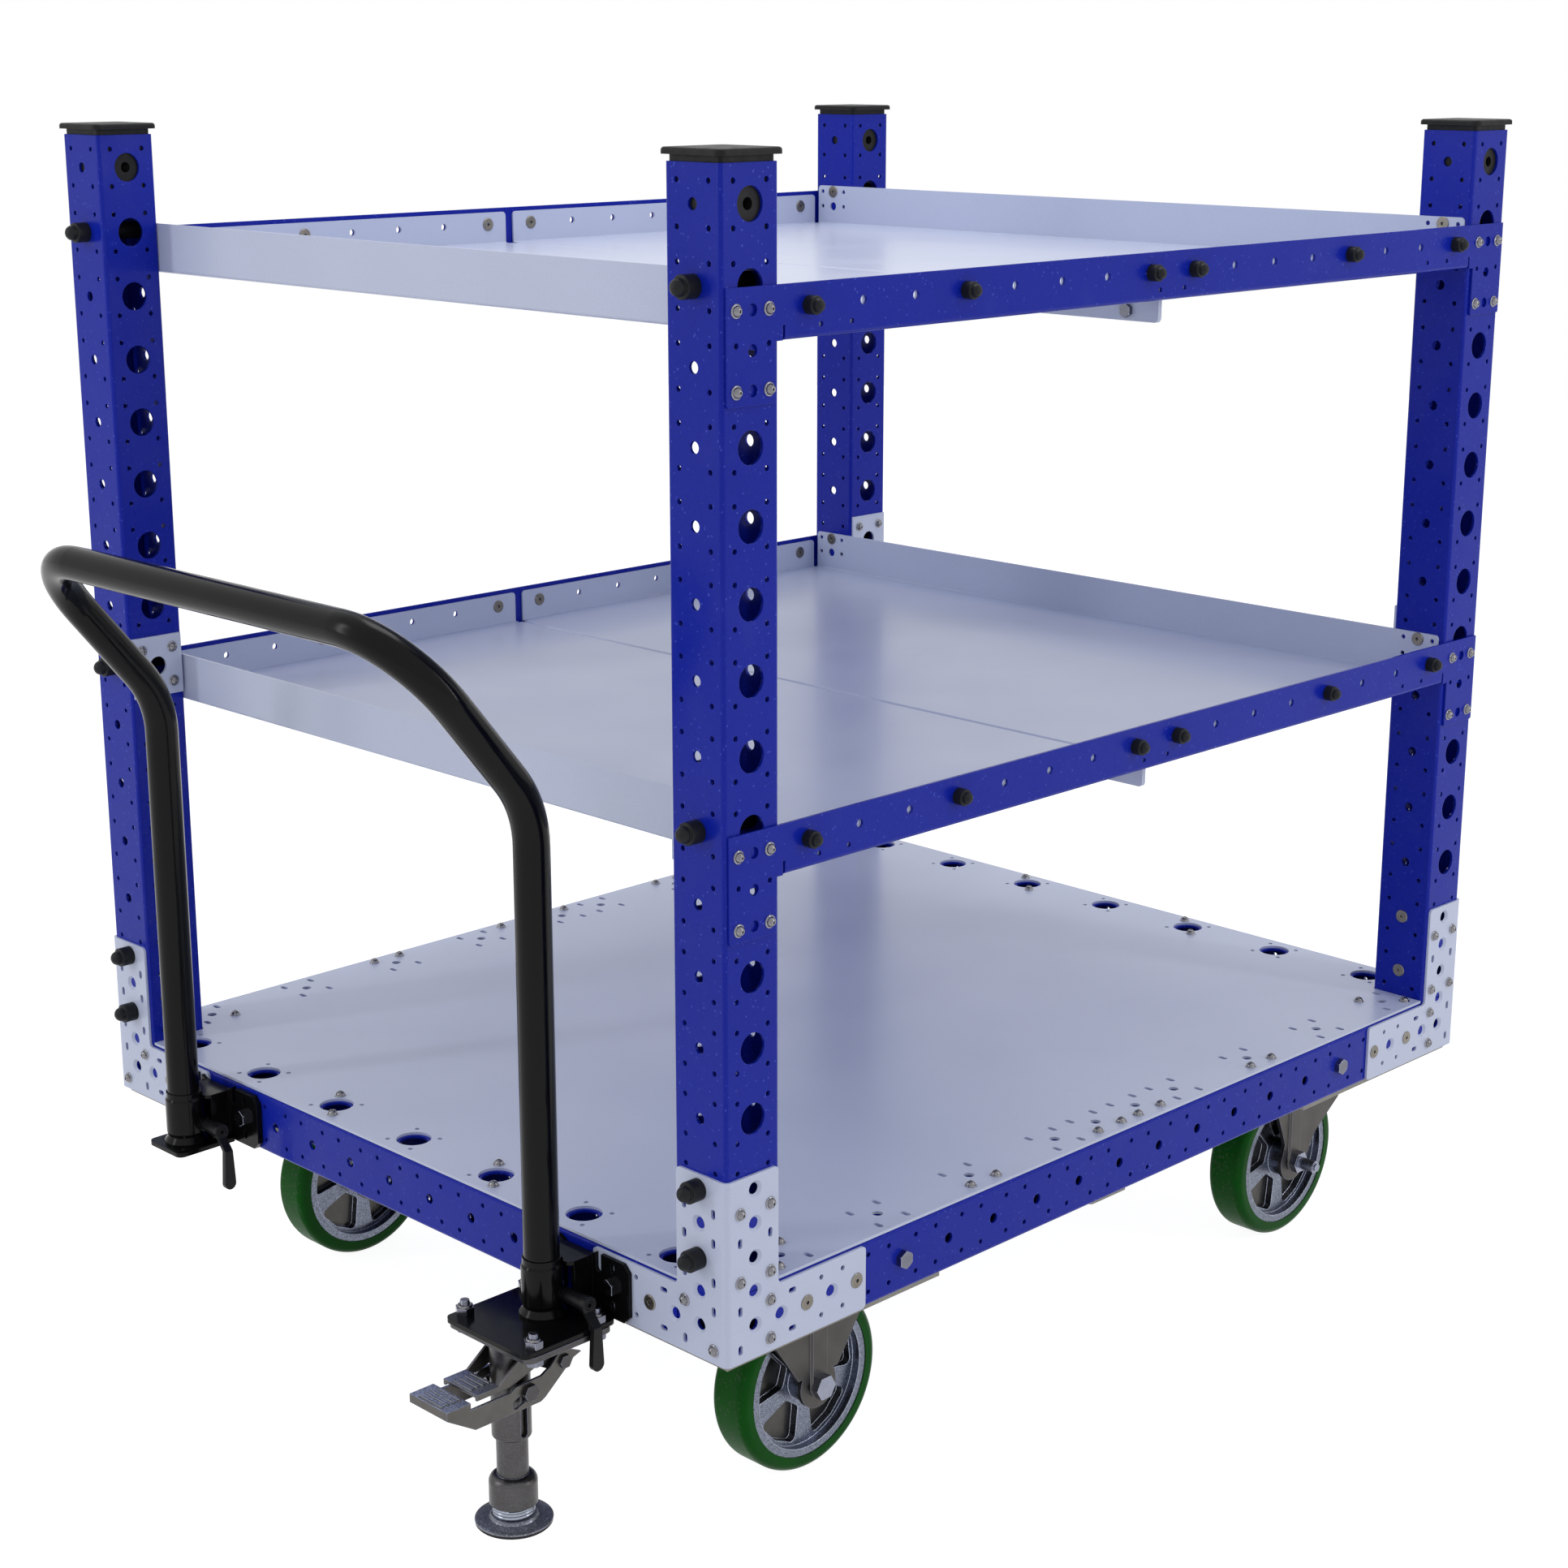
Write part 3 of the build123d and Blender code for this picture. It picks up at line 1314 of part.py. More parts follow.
# ---------------------------------------------------------------------------------------------
# Floor lock: a housing under the mount plate, a plunger with a spring foot, and two pedals.
# Its pieces are drawn with X and Y from the lock's axis and Z from the bottom of the base frame.
# ---------------------------------------------------------------------------------------------
lock_place = Location((lock_x, -handle_y, base_bottom))
lock_stroke = base_bottom - lock_foot_top - lock_foot_plate - lock_foot_rubber
tube_radius = lock_tube_diameter / 2
plunger_radius = lock_plunger_diameter / 2
ear_inner = tube_radius + gap
ear_outer = ear_inner + release_sheet
release_inner = ear_outer + gap
release_outer = release_inner + release_sheet
pedal_inner = release_outer + gap
pedal_outer = pedal_inner + pedal_sheet
pivot_x = lock_offset - pedal_pivot_offset
release_x = lock_offset - release_pivot_offset


def from_post(x):
    """An X measured forward from the post's centre line, as an X from the lock's axis."""
    return lock_offset - x


def side_plane(y):
    return Plane(origin=(0, y, 0), x_dir=(1, 0, 0), z_dir=(0, -1, 0))


def slab(outline, inner, outer):
    """Two plates of one outline, between the inner and outer distances from the middle."""
    with BuildPart() as plates:
        for start in (outer, -inner):
            with BuildSketch(side_plane(start)):
                with BuildLine():
                    Polyline(*outline, close=True)
                make_face()
            extrude(amount=outer - inner)
    return plates.part


ear_outline = [
    (from_post(lock_ear_front), -lock_flange),
    (from_post(lock_ear_rear), -lock_flange),
    (from_post(lock_ear_rear), -lock_flange - 2 * lock_flange),
    (pivot_x + 2 * pedal_pivot_diameter / 2, -lock_ear_bottom),
    (pivot_x - pedal_pivot_diameter, -lock_ear_bottom),
    (from_post(lock_ear_front), -release_pivot_height - release_pivot_diameter),
]
with BuildPart() as lock_housing:
    with BuildSketch(Plane.XY):
        with Locations((from_post((lock_flange_front + lock_flange_rear) / 2), 0)):
            RectangleRounded(
                lock_flange_front - lock_flange_rear, 2 * lock_flange_half, 2 * bracket_round
            )
        with Locations(
            *[
                (from_post(x), side * lock_bolt_half)
                for x in (lock_bolt_front, lock_bolt_rear)
                for side in (-1, 1)
            ]
        ):
            Circle(post_bolt / 2 + shank_air, mode=Mode.SUBTRACT)
    extrude(amount=-lock_flange)
    add(slab(ear_outline, ear_inner, ear_outer))
    with BuildSketch(Plane.XY.offset(-lock_tube_bottom)):
        Circle(tube_radius)
    extrude(amount=lock_tube_bottom - lock_flange)
    fillet(lock_housing.faces().sort_by(Axis.Z)[0].edges(), tube_wall)
    with BuildSketch(Plane.XY.offset(-lock_flange)):
        Circle(plunger_radius + gap)
    extrude(amount=-lock_tube_bottom, mode=Mode.SUBTRACT)
    with BuildSketch(side_plane(module)):
        with Locations((0, -(lock_slot_top + lock_slot_bottom) / 2)):
            SlotOverall(
                lock_slot_bottom - lock_slot_top, lock_pin_diameter + 2 * gap, 90
            )
    extrude(amount=2 * module, mode=Mode.SUBTRACT)
    with BuildSketch(side_plane(release_outer + gap)):
        with Locations((release_x, -release_pivot_height)):
            Circle(release_pivot_diameter / 2)
    extrude(amount=release_outer + gap - ear_inner)
    with BuildSketch(side_plane(-ear_inner)):
        with Locations((release_x, -release_pivot_height)):
            Circle(release_pivot_diameter / 2)
    extrude(amount=release_outer + gap - ear_inner)
    with BuildSketch(side_plane(module)):
        with Locations((pivot_x, -pedal_pivot_height)):
            Circle(pedal_pivot_diameter / 2)
    extrude(amount=2 * module, mode=Mode.SUBTRACT)


def cross_pin(x, z, diameter, head_af, head):
    """A pin across the lock with a hexagonal head outside each of the main pedal's plates."""
    reach = pedal_outer + gap
    with BuildPart() as pin:
        with BuildSketch(side_plane(reach)):
            with Locations((x, z)):
                Circle(diameter / 2)
        extrude(amount=2 * reach)
        for start in (reach + head, -reach):
            with BuildSketch(side_plane(start)):
                with Locations((x, z)):
                    RegularPolygon(head_af / 2, 6, major_radius=False)
            extrude(amount=head)
    return pin.part


pivot_pin = cross_pin(
    pivot_x, -pedal_pivot_height, pedal_pivot_diameter - 2 * running, hex_8_af, sheet
)
save_group([lock_housing.part.moved(lock_place), pivot_pin.moved(lock_place)], "lock_housing")

with BuildPart() as lock_plunger:
    with BuildSketch(Plane.XZ):
        cup_radius = lock_cup_diameter / 2
        shoulder = cup_radius - plunger_radius
        slant = shoulder * sin(radians(45))
        with BuildLine():
            Line((0, -lock_plunger_top), (plunger_radius, -lock_plunger_top))
            Line((plunger_radius, -lock_plunger_top), (plunger_radius, -lock_cup_top))
            ThreePointArc(
                (plunger_radius, -lock_cup_top),
                (plunger_radius + slant, slant - shoulder - lock_cup_top),
                (cup_radius, -lock_cup_top - shoulder),
            )
            Line((cup_radius, -lock_cup_top - shoulder), (cup_radius, -lock_cup_bottom))
            Line((cup_radius, -lock_cup_bottom), (0, -lock_cup_bottom))
            Line((0, -lock_cup_bottom), (0, -lock_plunger_top))
        make_face()
    revolve(axis=Axis.Z)
    with BuildSketch(side_plane(module)):
        with Locations((0, -lock_pin_height)):
            Circle(lock_pin_diameter / 2 + running)
    extrude(amount=2 * module, mode=Mode.SUBTRACT)
plunger_pin = cross_pin(0, -lock_pin_height, lock_pin_diameter, lock_pin_head_af, lock_pin_head)
save_group([lock_plunger.part.moved(lock_place), plunger_pin.moved(lock_place)], "lock_plunger")

spring_radius = (lock_spring_diameter - lock_wire) / 2 + running
coils = []
coil_pitch = lock_wire + gap
coil_top = -lock_cup_bottom - gap - lock_wire / 2
with BuildPart() as coil:
    with BuildSketch(Plane.XZ):
        with Locations((spring_radius, coil_top)):
            Circle(lock_wire / 2)
    revolve(axis=Axis.Z)
for turn in range(lock_spring_turns):
    coils.append(coil.part.moved(Location((0, 0, -turn * coil_pitch))))

foot_low = lock_foot_top + lock_foot_plate
with BuildPart() as foot_disc:
    with BuildSketch(Plane.XY.offset(-foot_low)):
        Circle(lock_foot_diameter / 2)
    extrude(amount=lock_foot_plate)
    fillet(foot_disc.faces().sort_by(Axis.Z)[-1].edges(), lock_foot_plate / 2)
    collar_top = coil_top - (lock_spring_turns - 1) * coil_pitch - lock_wire / 2 - gap
    with BuildSketch(Plane.XY.offset(-lock_foot_top - gap)):
        Circle(lock_spring_diameter / 2 + lock_wire / 2)
    extrude(amount=collar_top + lock_foot_top + gap)
    with BuildSketch(Plane.XY.offset(-lock_foot_top)):
        Circle(post_bolt)
    extrude(amount=lock_foot_top - lock_cup_bottom)
with BuildPart() as foot_rubber:
    with BuildSketch(Plane.XY.offset(-foot_low - lock_foot_rubber)):
        Circle(lock_foot_diameter / 2 - gap)
    extrude(amount=lock_foot_rubber)
foot_pieces = [foot_disc.part, foot_rubber.part, *coils]
save_group([piece.moved(lock_place) for piece in foot_pieces], "lock_foot")

# The plunger's pin rides in a slot of the main pedal. The slot's line joins the pin's places in
# the pedal's own frame with the foot up and down, moved down to share out the bow of its path.
pin_x = -pivot_x
pin_z = pedal_pivot_height - lock_pin_height


def pin_in_pedal(share):
    """The pin from the pivot, in the pedal's frame, at a share of the full stroke."""
    turn = radians(pedal_angle) * share
    drop = pin_z - lock_stroke * share
    return (pin_x * cos(turn) + drop * sin(turn), drop * cos(turn) - pin_x * sin(turn))


slot_from = pin_in_pedal(0)
slot_to = pin_in_pedal(1)
slot_half = pin_in_pedal(0.5)
slot_length = hypot(slot_to[0] - slot_from[0], slot_to[1] - slot_from[1])
slot_angle = atan2(slot_to[1] - slot_from[1], slot_to[0] - slot_from[0])
bow = (slot_half[0] - slot_from[0]) * sin(slot_angle)
bow -= (slot_half[1] - slot_from[1]) * cos(slot_angle)
slot_middle = (
    pivot_x + (slot_from[0] + slot_to[0]) / 2 + bow / 2 * sin(slot_angle),
    -pedal_pivot_height + (slot_from[1] + slot_to[1]) / 2 - bow / 2 * cos(slot_angle),
)

pedal_edge = pedal_tread_height + pedal_dip
pedal_outline = [
    (from_post(pedal_front), -pedal_tread_height),
    (from_post(pedal_tread_rear), -pedal_tread_height),
    (from_post(pedal_tread_rear), -pedal_edge),
    (from_post(pedal_dip_front), -pedal_edge),
    (from_post(pedal_dip_rear), -pedal_edge + pedal_dip / 2),
    (from_post(pedal_neck), -pedal_tread_height - pedal_sheet),
    (pivot_x - pedal_ear_half - pedal_ear_top, -pedal_pivot_height),
    (pivot_x - pedal_ear_half, -pedal_pivot_height + pedal_ear_top),
    (pivot_x + pedal_ear_half, -pedal_pivot_height + pedal_ear_top),
    (pivot_x + pedal_tail, -pedal_pivot_height + pedal_sheet),
    (pivot_x + pedal_ear_half + pedal_ear_top / 2, -pedal_pivot_height),
    (from_post(pedal_low_rear - 2 * pedal_sheet), -pedal_lowest + pedal_sheet),
    (from_post(pedal_low_rear), -pedal_lowest),
    (from_post(pedal_low_front), -pedal_lowest),
    (from_post(pedal_front), -pedal_tread_height - pedal_tread_lip),
]
release_outline = [
    (release_x - release_ear_half, -release_pivot_height + release_ear_top),
    (release_x + release_ear_half, -release_pivot_height + release_ear_top),
    (release_x + release_ear_half, -release_pivot_height - release_ear_low / 2),
    (release_x - pedal_sheet, -release_pivot_height - release_ear_low),
    (release_x - release_reach, -release_tread_height - release_edge),
    (from_post(release_front), -release_tread_height - release_edge),
    (from_post(release_front), -release_tread_height),
    (from_post(release_rear), -release_tread_height),
    (release_x - 2 * release_ear_low, -release_pivot_height + release_sheet),
]


def tread(front, rear, height, half_width, thickness):
    """A tread across two side plates, with ribs across it."""
    low = (Align.MIN, Align.CENTER, Align.MAX)
    depth = front - rear
    ribs = int((depth - rib_width) // rib_pitch)
    with BuildPart() as step:
        with Locations((from_post(front), 0, -height)):
            Box(depth, 2 * half_width, thickness, align=low)
        with Locations((from_post((front + rear) / 2), 0, -height)):
            with GridLocations(rib_pitch, 0, ribs, 1):
                Box(rib_width, 2 * (half_width - rib_margin), 2 * rib_rise)
    return step.part


with BuildPart() as lock_pedal:
    add(slab(pedal_outline, pedal_inner, pedal_outer))
    add(tread(pedal_front, pedal_tread_rear, pedal_tread_height, pedal_outer, pedal_sheet))
    with Locations((from_post(pedal_front), 0, -pedal_tread_height)):
        corner = (Align.MIN, Align.CENTER, Align.MAX)
        Box(pedal_sheet, 2 * pedal_outer, pedal_tread_lip, align=corner)
    with BuildSketch(side_plane(module)):
        with Locations((pivot_x, -pedal_pivot_height)):
            Circle(pedal_pivot_diameter / 2)
        with Locations(slot_middle):
            slot_width = lock_pin_diameter + abs(bow) + 2 * gap
            SlotCenterToCenter(slot_length, slot_width, degrees(slot_angle))
    extrude(amount=2 * module, mode=Mode.SUBTRACT)
save(lock_pedal.part.moved(lock_place), "lock_pedal")

with BuildPart() as release_pedal:
    add(slab(release_outline, release_inner, release_outer))
    add(tread(release_front, release_rear, release_tread_height, release_outer, pedal_sheet))
    with BuildSketch(side_plane(module)):
        with Locations((release_x, -release_pivot_height)):
            Circle(release_pivot_diameter / 2 + running)
    extrude(amount=2 * module, mode=Mode.SUBTRACT)
save(release_pedal.part.moved(lock_place), "release_pedal")

# ---------------------------------------------------------------------------------------------
# Fasteners, each drawn with its seat at the origin and its head along +Z
# ---------------------------------------------------------------------------------------------
with BuildPart() as button_screw:
    with BuildSketch(Plane.XZ):
        flange_radius = button_flange / 2
        head_radius = button_head / 2
        tip_radius = button_shank / 2
        head_top = button_flange_height + button_rise
        with BuildLine():
            Polyline(
                (tip_radius, head_top),
                (0, head_top),
                (0, -button_grip),
                (tip_radius, -button_grip),
                (tip_radius, 0),
                (flange_radius, 0),
                (flange_radius, button_flange_height),
                (head_radius, button_flange_height),
            )
            RadiusArc((head_radius, button_flange_height), (tip_radius, head_top), -head_radius)
        make_face()
    revolve(axis=Axis.Z)
    with BuildSketch(Plane.XY.offset(head_top)):
        RegularPolygon(socket_af / 2, 6, major_radius=False)
    extrude(amount=-hex_key_depth, mode=Mode.SUBTRACT)


def flat_screw(diameter, length):
    """A wide flat head with a hexagonal socket, on a shank."""
    with BuildPart() as screw:
        with BuildSketch(Plane.XY):
            Circle(flat_head / 2)
        extrude(amount=flat_rise)
        chamfer(screw.edges().group_by(Axis.Z)[-1], flat_rise / 2)
        with BuildSketch(Plane.XY):
            Circle(diameter / 2)
        extrude(amount=-length)
        with BuildSketch(Plane.XY.offset(flat_rise)):
            RegularPolygon(flat_socket_af / 2, 6, major_radius=False)
        extrude(amount=-hex_key_depth, mode=Mode.SUBTRACT)
    return screw.part


def bolt_cap(diameter, length, thread):
    """A domed plastic cap, bored for the end of a bolt."""
    radius = diameter / 2
    with BuildPart() as cap:
        with BuildSketch(Plane.XY):
            Circle(radius)
        extrude(amount=length)
        fillet(cap.faces().sort_by(Axis.Z)[-1].edges(), cap_round * radius)
        with BuildSketch(Plane.XY):
            Circle(thread / 2 + running)
        extrude(amount=cap_grip, mode=Mode.SUBTRACT)
    return cap.part


def hexagon(af, height, bore=0):
    """A hexagonal head or nut with its upper corners turned off."""
    with BuildPart() as prism:
        with BuildSketch(Plane.XY):
            RegularPolygon(af / 2, 6, major_radius=False)
        extrude(amount=height)
        with BuildSketch(Plane.XY):
            Circle(af / 2 * hex_corner_turn)
        extrude(amount=height, taper=-hex_corner_angle, mode=Mode.INTERSECT)
        if bore:
            with BuildSketch(Plane.XY):
                Circle(bore / 2)
            extrude(amount=height, mode=Mode.SUBTRACT)
    return prism.part


def hex_bolt(diameter, af, head, length):
    with BuildPart() as bolt:
        add(mirror(hexagon(af, head), about=Plane.XY, mode=Mode.PRIVATE).moved(Location((0, 0, head))))
        with BuildSketch(Plane.XY):
            Circle(diameter / 2)
        extrude(amount=-length)
        chamfer(bolt.edges().group_by(Axis.Z)[0], diameter / 10)
    return bolt.part


def nut(diameter, af, height):
    return hexagon(af, height, diameter + 2 * running)


# Button screws: corner brackets, rails' end plates, stiffeners, deck and frame plates
screw_poses = []
side_skin = -y_side - face
for x, z in side_screws:
    screw_poses += corner_poses((x_front + x, side_skin, base_bottom + z), (0, -1, 0))
for y, z in end_screws:
    screw_poses += corner_poses((x_front - face, y - y_side, base_bottom + z), (-1, 0, 0))
for drop in (0, shelf_drop):
    for x in (-small_offset, small_offset):
        for row in (plate_rows[0], plate_rows[2]):
            spot = (x_front + x, side_skin, rail_top - drop + row)
            screw_poses += corner_poses(spot, (0, -1, 0))
for x, z in square(small_offset):
    spot = (x_front + x, half + sheet - y_side, middle_top + z)
    screw_poses += corner_poses(spot, (0, 1, 0))
deck_pairs = (
    (slot_modules[0], (-1, -1), (1, 1)),
    (slot_modules[2], (-1, -1), (1, -1)),
    (slot_modules[-1], (-1, -1), (1, -1)),
)
for index, *corners in deck_pairs:
    for a, b in corners:
        spot = (x_front + index * module + a * small_offset, b * small_offset - y_side, deck_top)
        screw_poses += corner_poses(spot, (0, 0, 1))
for y in (end_hole_y[2], end_hole_y[-3]):
    for a in (-1, 1):
        for x in (x_front, x_rear):
            screw_poses.append(pose((x + a * small_offset, y + a * small_offset, deck_top), (0, 0, 1)))
for x, y in mount_screws:
    screw_poses += corner_poses((x_front + x, y - y_side, caster_height), (0, 0, -1))
save_group(copies(button_screw.part, screw_poses), "button_screws")

# Flat screws: brackets' feet, bolts through the posts, bolts through trays and rails
short_flat = flat_screw(post_bolt, button_grip)
short_poses = []
for x in foot_reach:
    short_poses += corner_poses((x_front + x, side_skin, base_bottom + bracket_row), (0, -1, 0))
end_spot = (x_front - face, foot_reach[0] - y_side, base_bottom + bracket_row)
short_poses += corner_poses(end_spot, (-1, 0, 0))
far_spot = (x_front - face, foot_reach[1] - y_side, base_bottom + bracket_row)
short_poses += corner_poses(far_spot, (-1, 0, 0), ends=(-1,))

bracket_bolt = flat_screw(post_bolt, module + sheet + cap_grip - gap)
bracket_bolt_poses = []
for row in (post_low_row, post_high_row):
    spot = (x_front + half, -y_side, base_bottom + row)
    bracket_bolt_poses += corner_poses(spot, (1, 0, 0))
tray_bolt = flat_screw(post_bolt, module + tray_sheet + cap_grip - gap)
tray_bolt_poses = []
for height in (rail_top, middle_top):
    spot = (x_front + half + tray_sheet, -y_side, height)
    tray_bolt_poses += corner_poses(spot, (1, 0, 0))

rail_bolt_part = flat_screw(rail_bolt, tray_sheet + gap + sheet + cap_grip - gap)
rail_bolt_poses = []
rail_cap_poses = []
for drop in (0, shelf_drop):
    height = rail_top - rail_hole_drop - drop
    for index in rail_cap_modules:
        spot = (x_front + index * module, tray_sheet - tray_side_y, height)
        rail_bolt_poses += corner_poses(spot, (0, 1, 0))
        spot = (x_front + index * module, side_skin, height)
        rail_cap_poses += corner_poses(spot, (0, -1, 0))
flat_screws = copies(short_flat, short_poses) + copies(bracket_bolt, bracket_bolt_poses)
flat_screws += copies(tray_bolt, tray_bolt_poses) + copies(rail_bolt_part, rail_bolt_poses)
save_group(flat_screws, "flat_screws")

# Domed caps on the outer ends of those bolts
post_cap_poses = []
for height in (rail_top, middle_top):
    post_cap_poses += corner_poses((x_front - half, -y_side, height), (-1, 0, 0))
for row in (post_low_row, post_high_row):
    spot = (x_front - face, -y_side, base_bottom + row)
    post_cap_poses += corner_poses(spot, (-1, 0, 0))
large_caps = copies(bolt_cap(cap_large, cap_large_length, post_bolt), post_cap_poses)
small_caps = copies(bolt_cap(cap_small, cap_small_length, rail_bolt), rail_cap_poses)
save_group(large_caps + small_caps, "bolt_caps")

# Hexagonal bolts and their nuts
beam_bolt = hex_bolt(post_bolt, hex_10_af, hex_10_head, module + tube_wall + hex_10_nut + thread_end)
nut_10 = nut(post_bolt, hex_10_af, hex_10_nut)
beam_bolts = []
beam_nuts = []
beam_x = x_front + cross_beam_shift
beam_bolts += corner_poses((beam_x, -y_side - half, base_middle), (0, -1, 0))
beam_nuts += corner_poses((beam_x, half + tube_wall - y_side, base_middle), (0, 1, 0))
hex_pieces = copies(beam_bolt, beam_bolts) + copies(nut_10, beam_nuts)

flange_grip = handle_sheet + handle_pad + tube_wall
flange_bolt = hex_bolt(post_bolt, hex_10_af, hex_10_head, flange_grip + hex_10_nut + thread_end)
for y in handle_bolt_y:
    outer = (flange_x - handle_sheet, y, base_middle)
    hex_pieces.append(flange_bolt.moved(pose(outer, (-1, 0, 0))))
    hex_pieces.append(nut_10.moved(pose((x_front - half + tube_wall, y, base_middle), (1, 0, 0))))

lock_grip = lock_flange + handle_plate + hex_10_nut + thread_end
lock_bolt = hex_bolt(post_bolt, hex_10_af, hex_10_head, lock_grip)
for x, y in lock_bolts:
    hex_pieces.append(lock_bolt.moved(pose((x, y, base_bottom - lock_flange), (0, 0, -1))))
    hex_pieces.append(nut_10.moved(pose((x, y, base_bottom + handle_plate), (0, 0, 1))))

seam_grip = 2 * tray_sheet + tray_seam_gap + hex_8_nut + 2 * thread_end
seam_bolt = hex_bolt(rail_bolt, hex_8_af, hex_8_head, seam_grip)
nut_8 = nut(rail_bolt, hex_8_af, hex_8_nut)
for drop in (0, shelf_drop):
    for y in seam_bolt_y:
        place = (x_middle - tray_seam_gap / 2 - tray_sheet, y, seam_bolt_z - drop)
        hex_pieces.append(seam_bolt.moved(pose(place, (-1, 0, 0))))
        place = (x_middle + tray_seam_gap / 2 + tray_sheet, y, seam_bolt_z - drop)
        hex_pieces.append(nut_8.moved(pose(place, (1, 0, 0))))

caster_grip = caster_plate + mount_plate + hex_8_nut + thread_end
plate_bolt = hex_bolt(caster_bolt, hex_8_af, hex_8_head, caster_grip)
for caster_x in (front_caster_x, rear_caster_x):
    for side in (-1, 1):
        for dx, dy in caster_bolts:
            x = caster_x + dx
            y = side * caster_y + dy
            low = caster_height - caster_plate
            hex_pieces.append(plate_bolt.moved(pose((x, y, low), (0, 0, -1))))
            hex_pieces.append(nut_8.moved(pose((x, y, base_bottom), (0, 0, 1))))
save_group(hex_pieces, "hex_bolts")
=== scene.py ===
import json
import math

import bmesh
import bpy
from mathutils import Matrix, Vector


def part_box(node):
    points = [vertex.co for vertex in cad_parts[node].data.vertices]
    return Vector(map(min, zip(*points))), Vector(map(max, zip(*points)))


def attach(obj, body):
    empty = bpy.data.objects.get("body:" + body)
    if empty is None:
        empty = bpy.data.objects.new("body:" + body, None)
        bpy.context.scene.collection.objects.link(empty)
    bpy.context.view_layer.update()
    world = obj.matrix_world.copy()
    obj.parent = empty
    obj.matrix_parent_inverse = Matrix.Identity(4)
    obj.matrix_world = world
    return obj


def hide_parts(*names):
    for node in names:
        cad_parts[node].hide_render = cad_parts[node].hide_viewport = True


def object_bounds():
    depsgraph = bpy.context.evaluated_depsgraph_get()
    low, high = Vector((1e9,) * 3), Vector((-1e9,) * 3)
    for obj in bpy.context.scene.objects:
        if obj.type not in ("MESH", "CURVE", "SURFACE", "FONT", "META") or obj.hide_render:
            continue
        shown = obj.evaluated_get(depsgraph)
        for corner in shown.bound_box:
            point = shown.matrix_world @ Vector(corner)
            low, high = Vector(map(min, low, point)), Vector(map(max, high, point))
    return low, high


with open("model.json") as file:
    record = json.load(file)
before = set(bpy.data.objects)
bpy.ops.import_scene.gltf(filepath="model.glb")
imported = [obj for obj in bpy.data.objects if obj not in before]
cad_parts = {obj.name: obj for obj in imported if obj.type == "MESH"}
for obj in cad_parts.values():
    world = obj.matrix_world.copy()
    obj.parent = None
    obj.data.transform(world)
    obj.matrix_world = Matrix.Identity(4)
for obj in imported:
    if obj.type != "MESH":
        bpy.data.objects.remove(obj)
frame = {"nodes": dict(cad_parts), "record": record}
cad_low, cad_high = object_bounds()

MM = 0.001


def srgb(red, green, blue):
    """A colour written as 0 to 255 screen values, as the linear colour that a shader takes."""
    def linear(value):
        share = value / 255
        return share / 12.92 if share <= 0.04045 else ((share + 0.055) / 1.055) ** 2.4

    return (linear(red), linear(green), linear(blue), 1.0)


